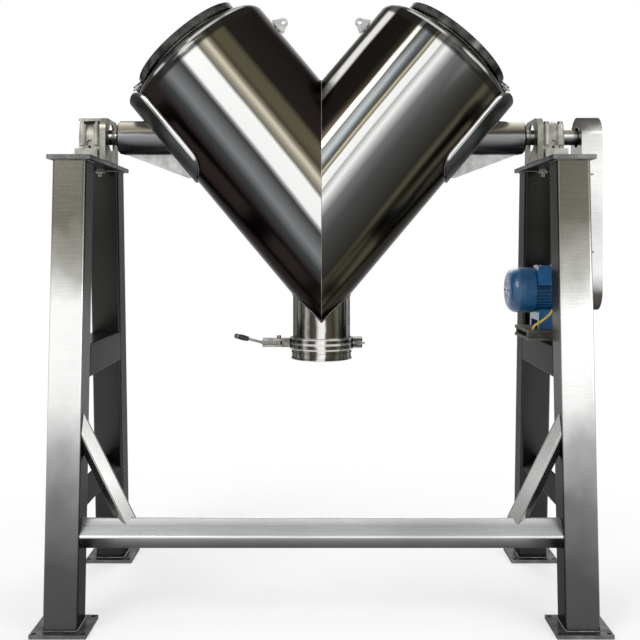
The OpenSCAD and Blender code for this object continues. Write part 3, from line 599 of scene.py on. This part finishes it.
@dataclass(frozen=True)
class SaddleSteel:
    """Satin doubler plate with one painted reflection line along its rounded edge.

    Attributes:
        side: Which pad.
    """

    side: Side

    def material(self) -> bpy.types.Material:
        """Builds the finish."""
        shader = Shader(f"saddle_{self.side.name.lower()}")
        along, across, _ = leg_places(shader, self.side)
        # Painted reflection: one bright line along the pad's rounded edge.
        reflection_stripe = (across / PAD_R).band(-0.80, 0.016, 0.012) * along.band(PAD_AT, 0.125, 0.012)
        grain = shader.noise(300.0, detail=4.0)
        clouds = shader.noise(14.0, detail=3.0)
        grey = shader.tint(shader.mix(clouds, (0.075, 0.078, 0.08), (0.13, 0.134, 0.138)), 0.85 + 0.3 * grain)
        colour = shader.mix(reflection_stripe, grey, (0.88, 0.88, 0.87))
        return shader.finish(colour, 0.30 + 0.12 * grain, shader.bump(grain, 0.05, 0.0005))


@dataclass(frozen=True)
class Painted:
    """Paint, cast skin, rubber or plastic with clouds, fine grain and dust on its upper faces.

    Attributes:
        name: Name of the material.
        colour: Main colour.
        shade: Colour of its darker clouds.
        metallic: How metallic it is.
        roughness: Roughness of the surface.
        grain: Cells per metre of the grain.
        depth: Height in metres of the grain.
        coat: Weight of the clear coat.
    """

    name: str
    colour: Colour
    shade: Colour
    metallic: float = 0.0
    roughness: float = 0.45
    grain: float = 380.0
    depth: float = 0.0006
    coat: float = 0.0

    def material(self) -> bpy.types.Material:
        """Builds the finish."""
        shader = Shader(self.name, self.metallic, self.coat)
        fine = shader.noise(self.grain, detail=5.0)
        clouds = shader.noise(26.0, detail=4.0)
        _, _, up = shader.turned()
        dust = up.step(0.6, 1.0) * clouds * 0.08
        colour = shader.mix(clouds.step(0.35, 0.70), self.colour, self.shade)
        dusty = shader.mix(dust, colour, (0.55, 0.54, 0.5))
        rough = self.roughness + 0.20 * (fine - 0.5) + dust * 0.5
        return shader.finish(shader.tint(dusty, 0.9 + 0.2 * fine), rough, shader.bump(fine, 0.25, self.depth))


@dataclass(frozen=True)
class LeverSteel:
    """Dark lever steel with paler clouds of wear."""

    name: str = "lever_steel"

    def material(self) -> bpy.types.Material:
        """Builds the finish."""
        shader = Shader(self.name)
        grain = shader.noise(320.0, detail=4.0)
        cloud = shader.noise(40.0, detail=3.0)
        steel = shader.mix(cloud, (0.16, 0.15, 0.13), (0.42, 0.41, 0.38))
        return shader.finish(shader.tint(steel, 0.85 + 0.3 * grain), 0.28 + 0.15 * grain,
                             shader.bump(grain, 0.08, 0.0004))


# Meshes


def in_scene(name: str, data: bpy.types.ID) -> bpy.types.Object:
    """Makes an object of some data and links it into the scene.

    Args:
        name: Name of the object.
        data: Mesh, camera or lamp.

    Returns:
        The object.
    """
    thing = bpy.data.objects.new(name, data)
    bpy.context.scene.collection.objects.link(thing)
    return thing


def finished(name: str, mesh: bpy.types.Mesh, material: bpy.types.Material, body: Body,
             smooth: bool = True) -> bpy.types.Object:
    """Puts a mesh in the scene as a piece of the part.

    Args:
        name: Name of the piece.
        mesh: Its mesh, already in place.
        material: Its material.
        body: The body that it rides on.
        smooth: Whether its faces are shaded smooth.

    Returns:
        The object.
    """
    mesh.name = name
    if not mesh.materials:
        mesh.materials.append(material)
    for polygon in mesh.polygons:
        polygon.use_smooth = smooth
    thing = in_scene(name, mesh)
    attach(thing, body.value)
    log.info("piece %s: %d faces on %s", name, len(mesh.polygons), body.value)
    return thing


def line_object(name: str, paths: Iterable[Path]) -> bpy.types.Object:
    """Makes a mesh of open and closed chains of edges, for Geometry Nodes to follow.

    Args:
        name: Name of the object.
        paths: Points of each path, and whether it is closed.

    Returns:
        The object.
    """
    verts: list[Point] = []
    edges: list[tuple[int, int]] = []
    for points, closed in paths:
        start = len(verts)
        verts.extend(points)
        edges.extend((start + i, start + i + 1) for i in range(len(points) - 1))
        if closed:
            edges.append((start + len(points) - 1, start))
    mesh = bpy.data.meshes.new(name)
    mesh.from_pydata(verts, edges, [])
    return in_scene(name, mesh)


def circle(radius: float, steps: int) -> list[tuple[float, float]]:
    """Points at even steps round a circle, from its first axis towards the second."""
    turns = [2 * math.pi * i / steps for i in range(steps)]
    return [(radius * math.cos(turn), radius * math.sin(turn)) for turn in turns]


def rounded_square(half: float, corner: float, steps: int) -> list[tuple[float, float]]:
    """Outline of a square with round corners.

    Args:
        half: Half of its side.
        corner: Radius of its corners.
        steps: Steps round each corner.

    Returns:
        The points, in order.
    """
    points = []
    for i in range(4):
        across = (half - corner) * (1 if i in (0, 3) else -1)
        along = (half - corner) * (1 if i in (0, 1) else -1)
        for j in range(steps + 1):
            turn = math.pi / 2 * (i + j / steps)
            points.append((across + corner * math.cos(turn), along + corner * math.sin(turn)))
    return points


class GeometryTree(Tree):
    """A Geometry Nodes tree with named inputs, made in the script."""

    def __init__(self, name: str, sizes: dict[str, float], material: bpy.types.Material) -> None:
        """Starts a tree.

        Args:
            name: Name of the tree.
            sizes: Named inputs and their values.
            material: Material that the tree sets on what it makes.
        """
        self.group = bpy.data.node_groups.new(name, "GeometryNodeTree")
        super().__init__(self.group)
        self.sizes = sizes
        self.material = material
        face = self.group.interface
        face.new_socket("Geometry", in_out="INPUT", socket_type="NodeSocketGeometry")
        for size in sizes:
            face.new_socket(size, in_out="INPUT", socket_type="NodeSocketFloat")
        face.new_socket("Geometry", in_out="OUTPUT", socket_type="NodeSocketGeometry")
        self.entry = self.nodes.new("NodeGroupInput")

    def given(self, name: str = "Geometry") -> Sock:
        """One of the tree's own inputs."""
        return Sock(self, self.entry.outputs[name])

    def close(self, geometry: Sock) -> None:
        """Ends the tree in Realize Instances and Set Material.

        Args:
            geometry: What the tree made.
        """
        real = self.node("GeometryNodeRealizeInstances", None, {"Geometry": geometry})
        dressed = self.node("GeometryNodeSetMaterial", None, {"Geometry": real, "Material": self.material})
        self.feed(self.nodes.new("NodeGroupOutput").inputs[0], dressed)

    def bake(self, thing: bpy.types.Object) -> bpy.types.Mesh:
        """Runs the tree on an object and keeps the plain result.

        Args:
            thing: The object that the tree follows, which is removed.

        Returns:
            The mesh that the tree makes.
        """
        modifier = thing.modifiers.new(self.group.name, "NODES")
        modifier.node_group = self.group
        for item in self.group.interface.items_tree:
            if item.in_out == "INPUT" and item.name in self.sizes:
                modifier[item.identifier] = self.sizes[item.name]
        graph = bpy.context.evaluated_depsgraph_get()
        mesh = bpy.data.meshes.new_from_object(thing.evaluated_get(graph))
        bpy.data.objects.remove(thing)
        return mesh


def weld_beads(name: str, paths: Iterable[Path], width: float, pitch: float,
               finish: Finish, body: Body) -> None:
    """Weld beads: small round drops laid one over the next along each path.

    Args:
        name: Name of the piece.
        paths: Points of each bead, and whether it is closed.
        width: Width of the bead.
        pitch: Step from one drop to the next.
        finish: Finish of the bead.
        body: Body that it rides on.
    """
    tree = GeometryTree(name, {"Width": width, "Pitch": pitch}, finish.material())
    curve = tree.node("GeometryNodeMeshToCurve", None, {"Mesh": tree.given()})
    steps = tree.node("GeometryNodeResampleCurve", None, {"Curve": curve})
    set_length_mode(steps.socket.node)
    tree.feed(steps.socket.node.inputs["Length"], tree.given("Pitch"))
    drop = tree.node("GeometryNodeMeshIcoSphere", None, {"Radius": tree.given("Width"), "Subdivisions": 2})
    placed = tree.node("GeometryNodeInstanceOnPoints", None,
                       {"Points": steps, "Instance": drop, "Scale": (0.5, 0.5, 0.5)})
    tree.close(placed)
    finished(name, tree.bake(line_object(f"{name}_paths", paths)), tree.material, body)


def set_length_mode(node: bpy.types.Node) -> None:
    """Makes a Resample Curve node step by length.

    Args:
        node: The node.
    """
    if hasattr(node, "mode"):
        node.mode = "LENGTH"
    else:
        node.inputs["Mode"].default_value = "Length"


def studs(name: str, places: Iterable[Point], outer: float, height: float, sides: int,
          finish: Finish) -> None:
    """Flat discs standing on single points of the stand, as washers and screw heads do.

    Args:
        name: Name of the piece.
        places: Middle of each disc.
        outer: Radius of each disc.
        height: Thickness of each disc.
        sides: Number of sides.
        finish: Finish of the discs.
    """
    tree = GeometryTree(name, {"Radius": outer, "Height": height}, finish.material())
    disc = tree.node("GeometryNodeMeshCylinder", None,
                     {"Vertices": sides, "Radius": tree.given("Radius"), "Depth": tree.given("Height")})
    tree.close(tree.node("GeometryNodeInstanceOnPoints", None, {"Points": tree.given(), "Instance": disc}))
    holder = line_object(f"{name}_places", [([place], False) for place in places])
    finished(name, tree.bake(holder), tree.material, Body.STAND, smooth=False)


def revolved(profile: Sequence[tuple[float, float]], to_world: Callable[[float, float, float], Point],
             sides: int = 48) -> bpy.types.Mesh:
    """Turns a closed profile about its own Z axis.

    Args:
        profile: Radius and height of each point, closed round.
        to_world: Places a local point in the part.
        sides: Number of steps round the axis.

    Returns:
        The mesh, with its faces outwards.
    """
    work = bmesh.new()
    rings = [[work.verts.new(to_world(r * cos, r * sin, h)) for r, h in profile]
             for cos, sin in circle(1.0, sides)]
    count = len(profile)
    for i in range(sides):
        near, far = rings[i], rings[(i + 1) % sides]
        for j in range(count):
            k = (j + 1) % count
            work.faces.new((near[j], far[j], far[k], near[k]))
    bmesh.ops.remove_doubles(work, verts=work.verts, dist=1e-6)
    bmesh.ops.recalc_face_normals(work, faces=work.faces)
    mesh = bpy.data.meshes.new("turned")
    work.to_mesh(mesh)
    work.free()
    return mesh


def on_leg(side: Side, across: float, y: float, along: float) -> Point:
    """Places a point given on a drum's own axes.

    Args:
        side: Which drum.
        across: Distance from the drum's axis towards the outside of the V.
        y: Distance towards the back.
        along: Distance along the drum from the middle of the mitre.

    Returns:
        The point in the part.
    """
    outward = across * math.cos(TILT) + along * math.sin(TILT)
    rise = along * math.cos(TILT) - across * math.sin(TILT)
    return side * outward, y, MITRE_H + rise


# Sub-assemblies


@dataclass
class Vessel:
    """The two drums with their outlet and trunnions: finishes, seams and weld beads."""

    bead: float = 0.00496
    pitch: float = 0.0026
    pad_bead_rise: float = 0.002
    seam: float = 0.0010
    steps: int = 96
    gusset_t: float = 0.008
    gusset_in: float = 0.01
    gusset_end: float = 0.655
    cap_ring_r: float = 0.099
    cap_rings: tuple[tuple[float, float], ...] = ((0.7705, 0.003), (0.7905, 0.0016))
    rod_x: float = -0.0555
    rod_drop: float = 0.038
    grip_ribs: int = 7
    rib_from: float = 0.088
    rib_pitch: float = 0.0052

    def dress(self) -> None:
        """Gives the CAD nodes of the vessel their finishes."""
        # Painted reflections round the sleeves and the shafts, from the underside to the top.
        sleeve = ((0.0, grey(0.035)), (0.22, (0.06, 0.06, 0.064)), (0.38, (0.21, 0.215, 0.22)),
                  (0.52, (0.28, 0.28, 0.285)), (0.58, (0.04, 0.038, 0.034)), (0.66, (0.11, 0.1, 0.08)),
                  (0.8, (0.42, 0.38, 0.29)), (0.9, (0.82, 0.79, 0.72)), (1.0, (0.24, 0.23, 0.2)))
        shaft = ((0.0, grey(0.06)), (0.35, grey(0.12)), (0.5, (0.45, 0.44, 0.42)),
                 (0.62, (0.75, 0.74, 0.7)), (0.72, (0.2, 0.19, 0.17)), (1.0, (0.35, 0.34, 0.31)))
        dress_nodes((
            (MirrorDrum(Side.LEFT, LEFT_DRUM_REFLECTIONS), "left_leg_shell"),
            (MirrorDrum(Side.RIGHT, RIGHT_DRUM_REFLECTIONS), "right_leg_shell"),
            (OutletPolish(), "outlet_tube outlet_cap outlet_band"),
            (BarSteel("sleeve_steel", sleeve), "trunnion_sleeves"),
            (BarSteel("shaft_steel", shaft), "left_stub_shaft right_drive_shaft bearing_inner_rings "
                                             "bearing_rollers bearing_outer_rings gearbox_shaft"),
            (Painted("gusset_steel", (0.52, 0.52, 0.51), (0.34, 0.34, 0.33), 1.0, 0.42, 300.0, 0.0003),
             "trunnion_gussets lifting_lugs"),
            (Painted("gasket_silicone", (0.055, 0.055, 0.052), (0.03, 0.03, 0.028), 0.0, 0.55, 500.0, 0.0002),
             "left_cover_gasket right_cover_gasket outlet_gasket"),
            (Painted("clamp_steel", (0.46, 0.45, 0.42), (0.16, 0.15, 0.14), 1.0, 0.25, 260.0, 0.0004),
             "clamp_block band_screws left_cover_wing_nut right_cover_wing_nut outlet_wing_nut"),
            (Painted("band_steel", (0.085, 0.085, 0.08), (0.022, 0.021, 0.02), 1.0, 0.16, 240.0, 0.0002),
             "left_cover_band right_cover_band"),
            (SpunCover(Side.LEFT), "left_cover"),
            (SpunCover(Side.RIGHT), "right_cover"),
            (SaddleSteel(Side.LEFT), "left_saddle_pad"),
            (SaddleSteel(Side.RIGHT), "right_saddle_pad"),
            (LeverSteel(), "clamp_lever"),
        ))

    def build(self) -> None:
        """Makes the seam, the weld beads and the grip."""
        self._mitre_seam()
        self._beads()
        self._grip()
        self._cap_rings()

    def _mitre_seam(self) -> None:
        """Ground seam on the mitre: a fine raised line from the outlet over the crotch to the outlet."""
        half_high = LEG_R / math.sin(TILT)
        start = math.asin(OUTLET_R / LEG_R)
        points = []
        for i in range(self.steps + 1):
            turn = -math.pi + start + 2 * (math.pi - start) * i / self.steps
            points.append((0.0, LEG_R * math.sin(turn), MITRE_H + half_high * math.cos(turn)))
        line = line_object("mitre_path", [(points, False)])
        finish = Painted("seam_polish", (0.34, 0.33, 0.31), (0.18, 0.17, 0.15), 1.0, 0.18, 300.0,
                         0.0002).material()
        tree = GeometryTree("seam_line", {"Radius": self.seam}, finish)
        curve = tree.node("GeometryNodeMeshToCurve", None, {"Mesh": tree.given()})
        ring = tree.node("GeometryNodeCurvePrimitiveCircle", None,
                         {"Resolution": 8, "Radius": tree.given("Radius")})
        tree.close(tree.node("GeometryNodeCurveToMesh", None,
                             {"Curve": curve, "Profile Curve": ring, "Fill Caps": True}))
        finished("mitre_seam", tree.bake(line), finish, Body.VESSEL)

    def _outlet_path(self) -> list[Point]:
        """Where the outlet tube meets the underside of the drums.

        Returns:
            The points of the closed path.
        """
        points = []
        for x, y in circle(OUTLET_R, self.steps):
            low = (abs(x) * math.cos(TILT) - math.sqrt(LEG_R ** 2 - y ** 2)) / math.sin(TILT)
            points.append((x, y, MITRE_H + low))
        return points

    def _sleeve_path(self, side: Side) -> list[Point]:
        """Where a sleeve meets its pad.

        Args:
            side: Which side.

        Returns:
            The points of the closed path.
        """
        points = []
        for up, y in circle(SLEEVE_R, self.steps // 2):
            z = SHAFT_H + up
            x = (math.sqrt(PAD_R ** 2 - y ** 2) + (z - MITRE_H) * math.sin(TILT)) / math.cos(TILT)
            points.append((side * x, y, z))
        return points

    def _pad_path(self, side: Side) -> list[Point]:
        """Outline of a pad on its drum.

        Args:
            side: Which side.

        Returns:
            The points of the closed path.
        """
        reach = LEG_R + self.pad_bead_rise
        return [on_leg(side, math.sqrt(reach ** 2 - y ** 2), y, PAD_AT + along)
                for along, y in rounded_square(PAD_SIDE / 2, PAD_CORNER, 12)]

    def _gusset_paths(self, side: Side) -> list[Path]:
        """Lines where a gusset meets the underside of its sleeve, front and back.

        Args:
            side: Which side.

        Returns:
            The open paths.
        """
        z = SHAFT_H - SLEEVE_R
        inner = (PAD_R + (z - MITRE_H) * math.sin(TILT)) / math.cos(TILT) + self.gusset_in
        return [([(side * inner, y, z), (side * self.gusset_end, y, z)], False)
                for y in (-self.gusset_t / 2, self.gusset_t / 2)]

    def _beads(self) -> None:
        """Weld beads of the outlet, the sleeves, the pads and the gussets."""
        paths: list[Path] = [(self._outlet_path(), True)]
        for side in Side:
            paths.append((self._sleeve_path(side), True))
            paths.append((self._pad_path(side), True))
            paths.extend(self._gusset_paths(side))
        finish = Painted("weld_bead", (0.2, 0.19, 0.18), (0.09, 0.085, 0.075), 1.0, 0.3, 420.0, 0.0004)
        weld_beads("vessel_weld_beads", paths, self.bead, self.pitch, finish, Body.VESSEL)

    def _grip(self) -> None:
        """Ribbed black sleeve over the end of the lever."""
        profile = [(0.0, 0.084), (0.0064, 0.0845), (0.0070, 0.086)]
        for i in range(self.grip_ribs):
            base = self.rib_from + i * self.rib_pitch
            swell = 0.0072 + 0.0020 * math.sin(math.pi * (i + 1) / (self.grip_ribs + 1))
            profile += [(swell, base), (swell + 0.0006, base + 0.0022), (swell, base + 0.0044)]
        profile += [(0.0086, 0.1265), (0.0072, 0.1305), (0.0040, 0.1330), (0.0, 0.1338)]
        start = Vector(LEVER_PIVOT) + Vector((self.rod_x, 0, 0))
        axis = Vector((-math.cos(LEVER_RISE), 0, math.sin(LEVER_RISE)))
        side = Vector((0, 1, 0))
        up = axis.cross(side)

        def place(x: float, y: float, h: float) -> Point:
            """Puts a point of the grip on the lever's rod."""
            return tuple(start + side * x + up * y + axis * (h - self.rod_drop))

        finish = Painted("grip_plastic", (0.008, 0.008, 0.009), (0.014, 0.014, 0.015), 0.0, 0.50, 600.0,
                         0.0003).material()
        finished("lever_grip", revolved(profile, place, 32), finish, Body.LEVER)

    def _cap_rings(self) -> None:
        """Turned rings round the cap, as its rolled edge has."""
        finish = bpy.data.materials["outlet_polish_reflections"]
        for i, (z, h) in enumerate(self.cap_rings):
            r = self.cap_ring_r
            profile = [(r - 0.001, z - h), (r + 0.0012, z - h * 0.6), (r + 0.0018, z),
                       (r + 0.0012, z + h * 0.6), (r - 0.001, z + h)]
            mesh = revolved(profile, lambda x, y, up: (x, y, up), self.steps)
            finished(f"cap_ring_{i + 1}", mesh, finish, Body.VESSEL)


@dataclass
class Stand:
    """The welded frame with its bearings and shields: finishes, weld beads, washers and nipples."""

    bead: float = 0.0052
    pitch: float = 0.0028
    post_corner: float = 0.009
    washer_r: float = 0.0155
    washer_t: float = 0.0026
    washer_y: float = 0.087
    washer_drop: float = 0.0144
    nipple_y: float = 0.012
    nipple_z: float = 1.552

    def dress(self) -> None:
        """Gives the CAD nodes of the stand their finishes."""
        # Painted reflections and shade by height: bright middles on the front posts, near black rear posts
        # and rails, a lighter middle on the braces.
        post_reflection_tones = ((0.0, grey(0.075)), (0.12, grey(0.085)), (0.25, grey(0.19)),
                      (0.36, grey(0.44)), (0.46, (0.86, 0.86, 0.85)), (0.56, (0.96, 0.96, 0.95)),
                      (0.67, (0.92, 0.92, 0.9)), (0.76, (0.38, 0.375, 0.345)), (0.86, (0.135, 0.13, 0.105)),
                      (1.0, (0.105, 0.1, 0.082)))
        rear_post_shade_tones = ((0.0, grey(0.03)), (0.3, grey(0.05)), (0.6, (0.042, 0.042, 0.04)),
                      (0.85, (0.026, 0.026, 0.024)), (1.0, (0.04, 0.04, 0.037)))
        rail_shade_tones = ((0.0, (0.05, 0.05, 0.047)), (0.5, (0.07, 0.068, 0.063)), (1.0, (0.045, 0.045, 0.042)))
        brace_light_tones = ((0.0, (0.22, 0.22, 0.215)), (0.5, (0.46, 0.46, 0.45)), (1.0, (0.3, 0.3, 0.29)))
        dress_nodes((
            (BrushedSteel("post_steel", post_reflection_tones, side_shade=0.2, away=0.8),
             "left_front_post right_front_post"),
            (BrushedSteel("rear_post_steel", rear_post_shade_tones, side_shade=0.7, away=0.85),
             "left_rear_post right_rear_post"),
            (BrushedSteel("rail_steel", rail_shade_tones, 0.2, 0.9, side_shade=0.8, away=0.8),
             "upper_side_rails lower_side_rails"),
            (BrushedSteel("brace_steel", brace_light_tones, 0.28, 0.62, Grain.UPRIGHT, 0.9), "stretcher_braces"),
            (RidgeSteel(), "stretcher"),
            (Painted("plate_steel", grey(0.12), (0.2, 0.2, 0.195), 1.0, 0.34, 260.0, 0.0004),
             "top_plates foot_plates guard_brackets"),
            (Painted("shield_steel", (0.34, 0.335, 0.29), (0.19, 0.185, 0.15), 1.0, 0.26, 240.0, 0.0003),
             "left_shaft_shield right_shaft_shield"),
            (Painted("bearing_cast", (0.48, 0.47, 0.42), (0.27, 0.26, 0.225), 0.25, 0.45, 210.0, 0.0012, 0.1),
             "bearing_bases bearing_caps"),
            (Painted("bolt_steel", (0.34, 0.33, 0.31), (0.18, 0.17, 0.16), 1.0, 0.32, 300.0, 0.0004),
             "bearing_bolts cap_bolts guard_screws"),
        ))

    def build(self) -> None:
        """Makes the beads, washers and grease nipples."""
        self._beads()
        self._washers()
        self._nipples()

    def _post_y(self, z: float) -> float:
        """Distance of a post's middle from the shaft's plane at a height."""
        return (POST_GAP + POST_W) / 2 + (POST_TOP - z) * math.tan(POST_LEAN)

    def _post_ring(self, side: Side, front: int, z: float) -> list[Point]:
        """Outline of a post at one height.

        Args:
            side: Which frame.
            front: -1 for a front post, 1 for a rear one.
            z: Height of the outline.

        Returns:
            The points of the closed path.
        """
        middle = front * self._post_y(z)
        outline = rounded_square(POST_W / 2, self.post_corner, 4)
        return [(side * FRAME_X + x, middle + y, z) for x, y in outline]

    def _beads(self) -> None:
        """Weld beads of the posts and the stretcher."""
        paths: list[Path] = []
        for side in Side:
            for front in (-1, 1):
                paths.append((self._post_ring(side, front, FOOT_T + 0.001), True))
                paths.append((self._post_ring(side, front, POST_TOP - 0.001), True))
            inner = side * (FRAME_X - POST_W / 2)
            y, h = -self._post_y(STRETCHER_H), STRETCHER_HALF
            corners = ((-h, 0), (0, h), (h, 0), (0, -h))
            paths.append(([(inner, y + dy, STRETCHER_H + dz) for dy, dz in corners], True))
        finish = Painted("frame_bead", (0.22, 0.21, 0.2), (0.1, 0.095, 0.085), 1.0, 0.34, 420.0, 0.0004)
        weld_beads("frame_weld_beads", paths, self.bead, self.pitch, finish, Body.STAND)

    def _washers(self) -> None:
        """Washers under the nuts of the bearing bolts, below the top plates."""
        z = POST_TOP - self.washer_drop
        places = [(side * BEARING_X, y, z) for side in Side for y in (-self.washer_y, self.washer_y)]
        finish = Painted("washer_steel", (0.5, 0.49, 0.46), (0.3, 0.29, 0.27), 1.0, 0.3, 300.0, 0.0003)
        studs("bearing_washers", places, self.washer_r, self.washer_t, 32, finish)

    def _nipples(self) -> None:
        """Grease nipple on top of each bearing cap."""
        finish = Painted("nipple_brass", (0.62, 0.5, 0.26), (0.42, 0.34, 0.2), 1.0, 0.3, 400.0,
                         0.0003).material()
        profile = [(0.0, -0.002), (0.0042, -0.002), (0.0042, 0.0000), (0.0030, 0.0004), (0.0016, 0.0008),
                   (0.0, 0.0010)]
        for side in Side:
            foot = (side * BEARING_X, self.nipple_y, self.nipple_z)
            mesh = revolved(profile, lambda *local, foot=foot: tuple(map(sum, zip(foot, local))), 20)
            finished(f"{side.name.lower()}_grease_nipple", mesh, finish, Body.STAND)


@dataclass
class Drive:
    """The guard, the motor and the parts that turn inside them."""

    guard_low: float = 0.928
    guard_high: float = 1.566
    lid_rise: float = 0.082
    lid_x: tuple[float, float] = (0.710, 0.758)
    lid_y: tuple[float, float] = (-0.077, -0.017)
    screw_r: float = 0.0042
    screw_t: float = 0.0026

    def dress(self) -> None:
        """Gives the CAD nodes of the drive their finishes."""
        # Painted reflections by height on the guard: dark ends and a bright middle.
        guard_reflection_tones = ((0.0, (0.05, 0.045, 0.04)), (0.09, (0.1, 0.09, 0.08)), (0.13, (0.5, 0.5, 0.49)),
                       (0.18, (0.8, 0.8, 0.79)), (0.45, (0.62, 0.62, 0.61)), (0.7, (0.74, 0.74, 0.72)),
                       (0.9, (0.55, 0.55, 0.53)), (0.95, (0.14, 0.13, 0.12)), (1.0, (0.08, 0.07, 0.06)))
        dress_nodes((
            (BrushedSteel("guard_steel", guard_reflection_tones, self.guard_low, self.guard_high, side_shade=0.9,
                          roughness=0.22), "guard_cover guard_back"),
            (Painted("motor_paint", (0.01, 0.085, 0.205), (0.006, 0.058, 0.145), 0.0, 0.32, 190.0, 0.0008,
                     0.35),
             "motor_body motor_fan_cowl terminal_box gearbox"),
            (Painted("pulley_iron", (0.1, 0.1, 0.105), grey(0.06), 0.8, 0.45, 260.0, 0.0005),
             "shaft_pulley motor_pulley"),
            (Painted("belt_rubber", grey(0.018), (0.03, 0.029, 0.028), 0.0, 0.7, 500.0, 0.0004),
             "drive_belts"),
            (Painted("fan_plastic", (0.02, 0.02, 0.021), (0.032, 0.032, 0.033), 0.0, 0.5, 420.0, 0.0003),
             "motor_fan"),
            (Painted("cable_jacket", (0.6, 0.4, 0.035), (0.45, 0.29, 0.03), 0.0, 0.45, 380.0, 0.0003),
             "motor_cable"),
            (Painted("bracket_steel", (0.12, 0.115, 0.1), (0.2, 0.19, 0.17), 1.0, 0.4, 240.0, 0.0005),
             "motor_bracket"),
        ))

    def build(self) -> None:
        """Makes the four screws of the terminal box's lid."""
        z = MOTOR_H + self.lid_rise
        places = [(x, y, z) for x in self.lid_x for y in self.lid_y]
        finish = Painted("small_screw", (0.55, 0.54, 0.5), (0.32, 0.31, 0.28), 1.0, 0.28, 400.0, 0.0003)
        studs("terminal_box_screws", places, self.screw_r, self.screw_t, 16, finish)


@dataclass
class Studio:
    """Camera, floor and soft light."""

    focal_px: float = 920.0
    image_px: int = 640
    centre_px: tuple[float, float] = (321.5, 246.0)
    eye: Point = (0.0, -3.060, 1.140)
    sensor: float = 36.0
    shadow_reach: float = 0.85
    white_from: float = 2.0
    world_light: float = 0.62

    def camera(self) -> None:
        """Makes the camera at the photograph's place."""
        data = bpy.data.cameras.new("photo_camera")
        data.sensor_width = self.sensor
        data.lens = self.sensor * self.focal_px / self.image_px
        half = self.image_px / 2
        data.shift_x = (half - self.centre_px[0]) / self.image_px
        data.shift_y = (self.centre_px[1] - half) / self.image_px
        camera = in_scene("photo_camera", data)
        camera.location = self.eye
        camera.rotation_euler = (math.radians(90), 0, 0)
        bpy.context.scene.camera = camera

    def floor(self) -> None:
        """Makes the pale floor that takes the object's shadow."""
        mesh = bpy.data.meshes.new("floor")
        reach = 14.0
        mesh.from_pydata([(-reach, -reach, 0), (reach, -reach, 0), (reach, reach, 0), (-reach, reach, 0)], [],
                         [(0, 1, 2, 3)])
        floor = in_scene("floor", mesh)
        shader = Shader("pale_floor", 0.0)
        soft = shader.noise(2.0, detail=2.0)
        material = shader.finish(shader.mix(soft, grey(0.93), grey(0.96)), 0.8)
        x, y, _ = shader.axes()
        far = (x * x + y * y).root().step(self.shadow_reach, self.white_from)
        white = shader.node("ShaderNodeEmission", None, {"Color": (1, 1, 1, 1), "Strength": 1.0})
        near = Sock(shader, shader.principled.outputs["BSDF"])
        both = shader.node("ShaderNodeMixShader", None,
                           {0: (far * 0.55 + 0.45) * shader.seen(), 1: near, 2: white})
        shader.feed(shader.nodes["Material Output"].inputs["Surface"], both)
        mesh.materials.append(material)

    def light(self) -> None:
        """Sets the white world and the soft lamps."""
        world = bpy.data.worlds.new("white_room")
        bpy.context.scene.world = world
        world.use_nodes = True
        tree = Tree(world.node_tree)
        back = tree.nodes["Background"].inputs
        back["Color"].default_value = (1, 1, 1, 1)
        tree.feed(back["Strength"], self.world_light + (1 - self.world_light) * tree.seen())
        for name, place, aim, size, power in (
            ("key", (-2.6, -3.4, 3.6), (0, 0, 1.0), 2.4, 95.0),
            ("fill", (3.0, -2.6, 2.2), (0, 0, 1.0), 2.4, 45.0),
            ("back", (0.4, 3.2, 3.4), (0, 0, 1.1), 2.6, 60.0),
        ):
            data = bpy.data.lights.new(name, "AREA")
            data.size = size
            data.energy = power
            lamp = in_scene(name, data)
            lamp.location = place
            lamp.rotation_euler = (Vector(aim) - Vector(place)).to_track_quat("-Z", "Y").to_euler()

    def build(self) -> None:
        """Sets up the whole studio."""
        self.camera()
        self.floor()
        self.light()
        bpy.context.scene.view_settings.view_transform = "Standard"


def dress_nodes(finishes: Iterable[tuple[Finish, str]]) -> None:
    """Gives CAD nodes their materials.

    Args:
        finishes: Each finish with the names of its nodes.
    """
    for finish, names in finishes:
        material = finish.material()
        for name in names.split():
            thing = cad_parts[name]
            if not thing.material_slots:
                thing.data.materials.append(material)
            for slot in thing.material_slots:
                slot.material = material
            log.info("finish %s on %s", material.name, name)


def main() -> None:
    """Builds the classes in order."""
    logging.basicConfig(level=logging.INFO, format="%(name)s: %(message)s")
    Studio().build()
    for assembly in (Vessel(), Stand(), Drive()):
        assembly.dress()
        assembly.build()
        log.info("%s done", type(assembly).__name__)


if __name__ == "__main__":
    main()
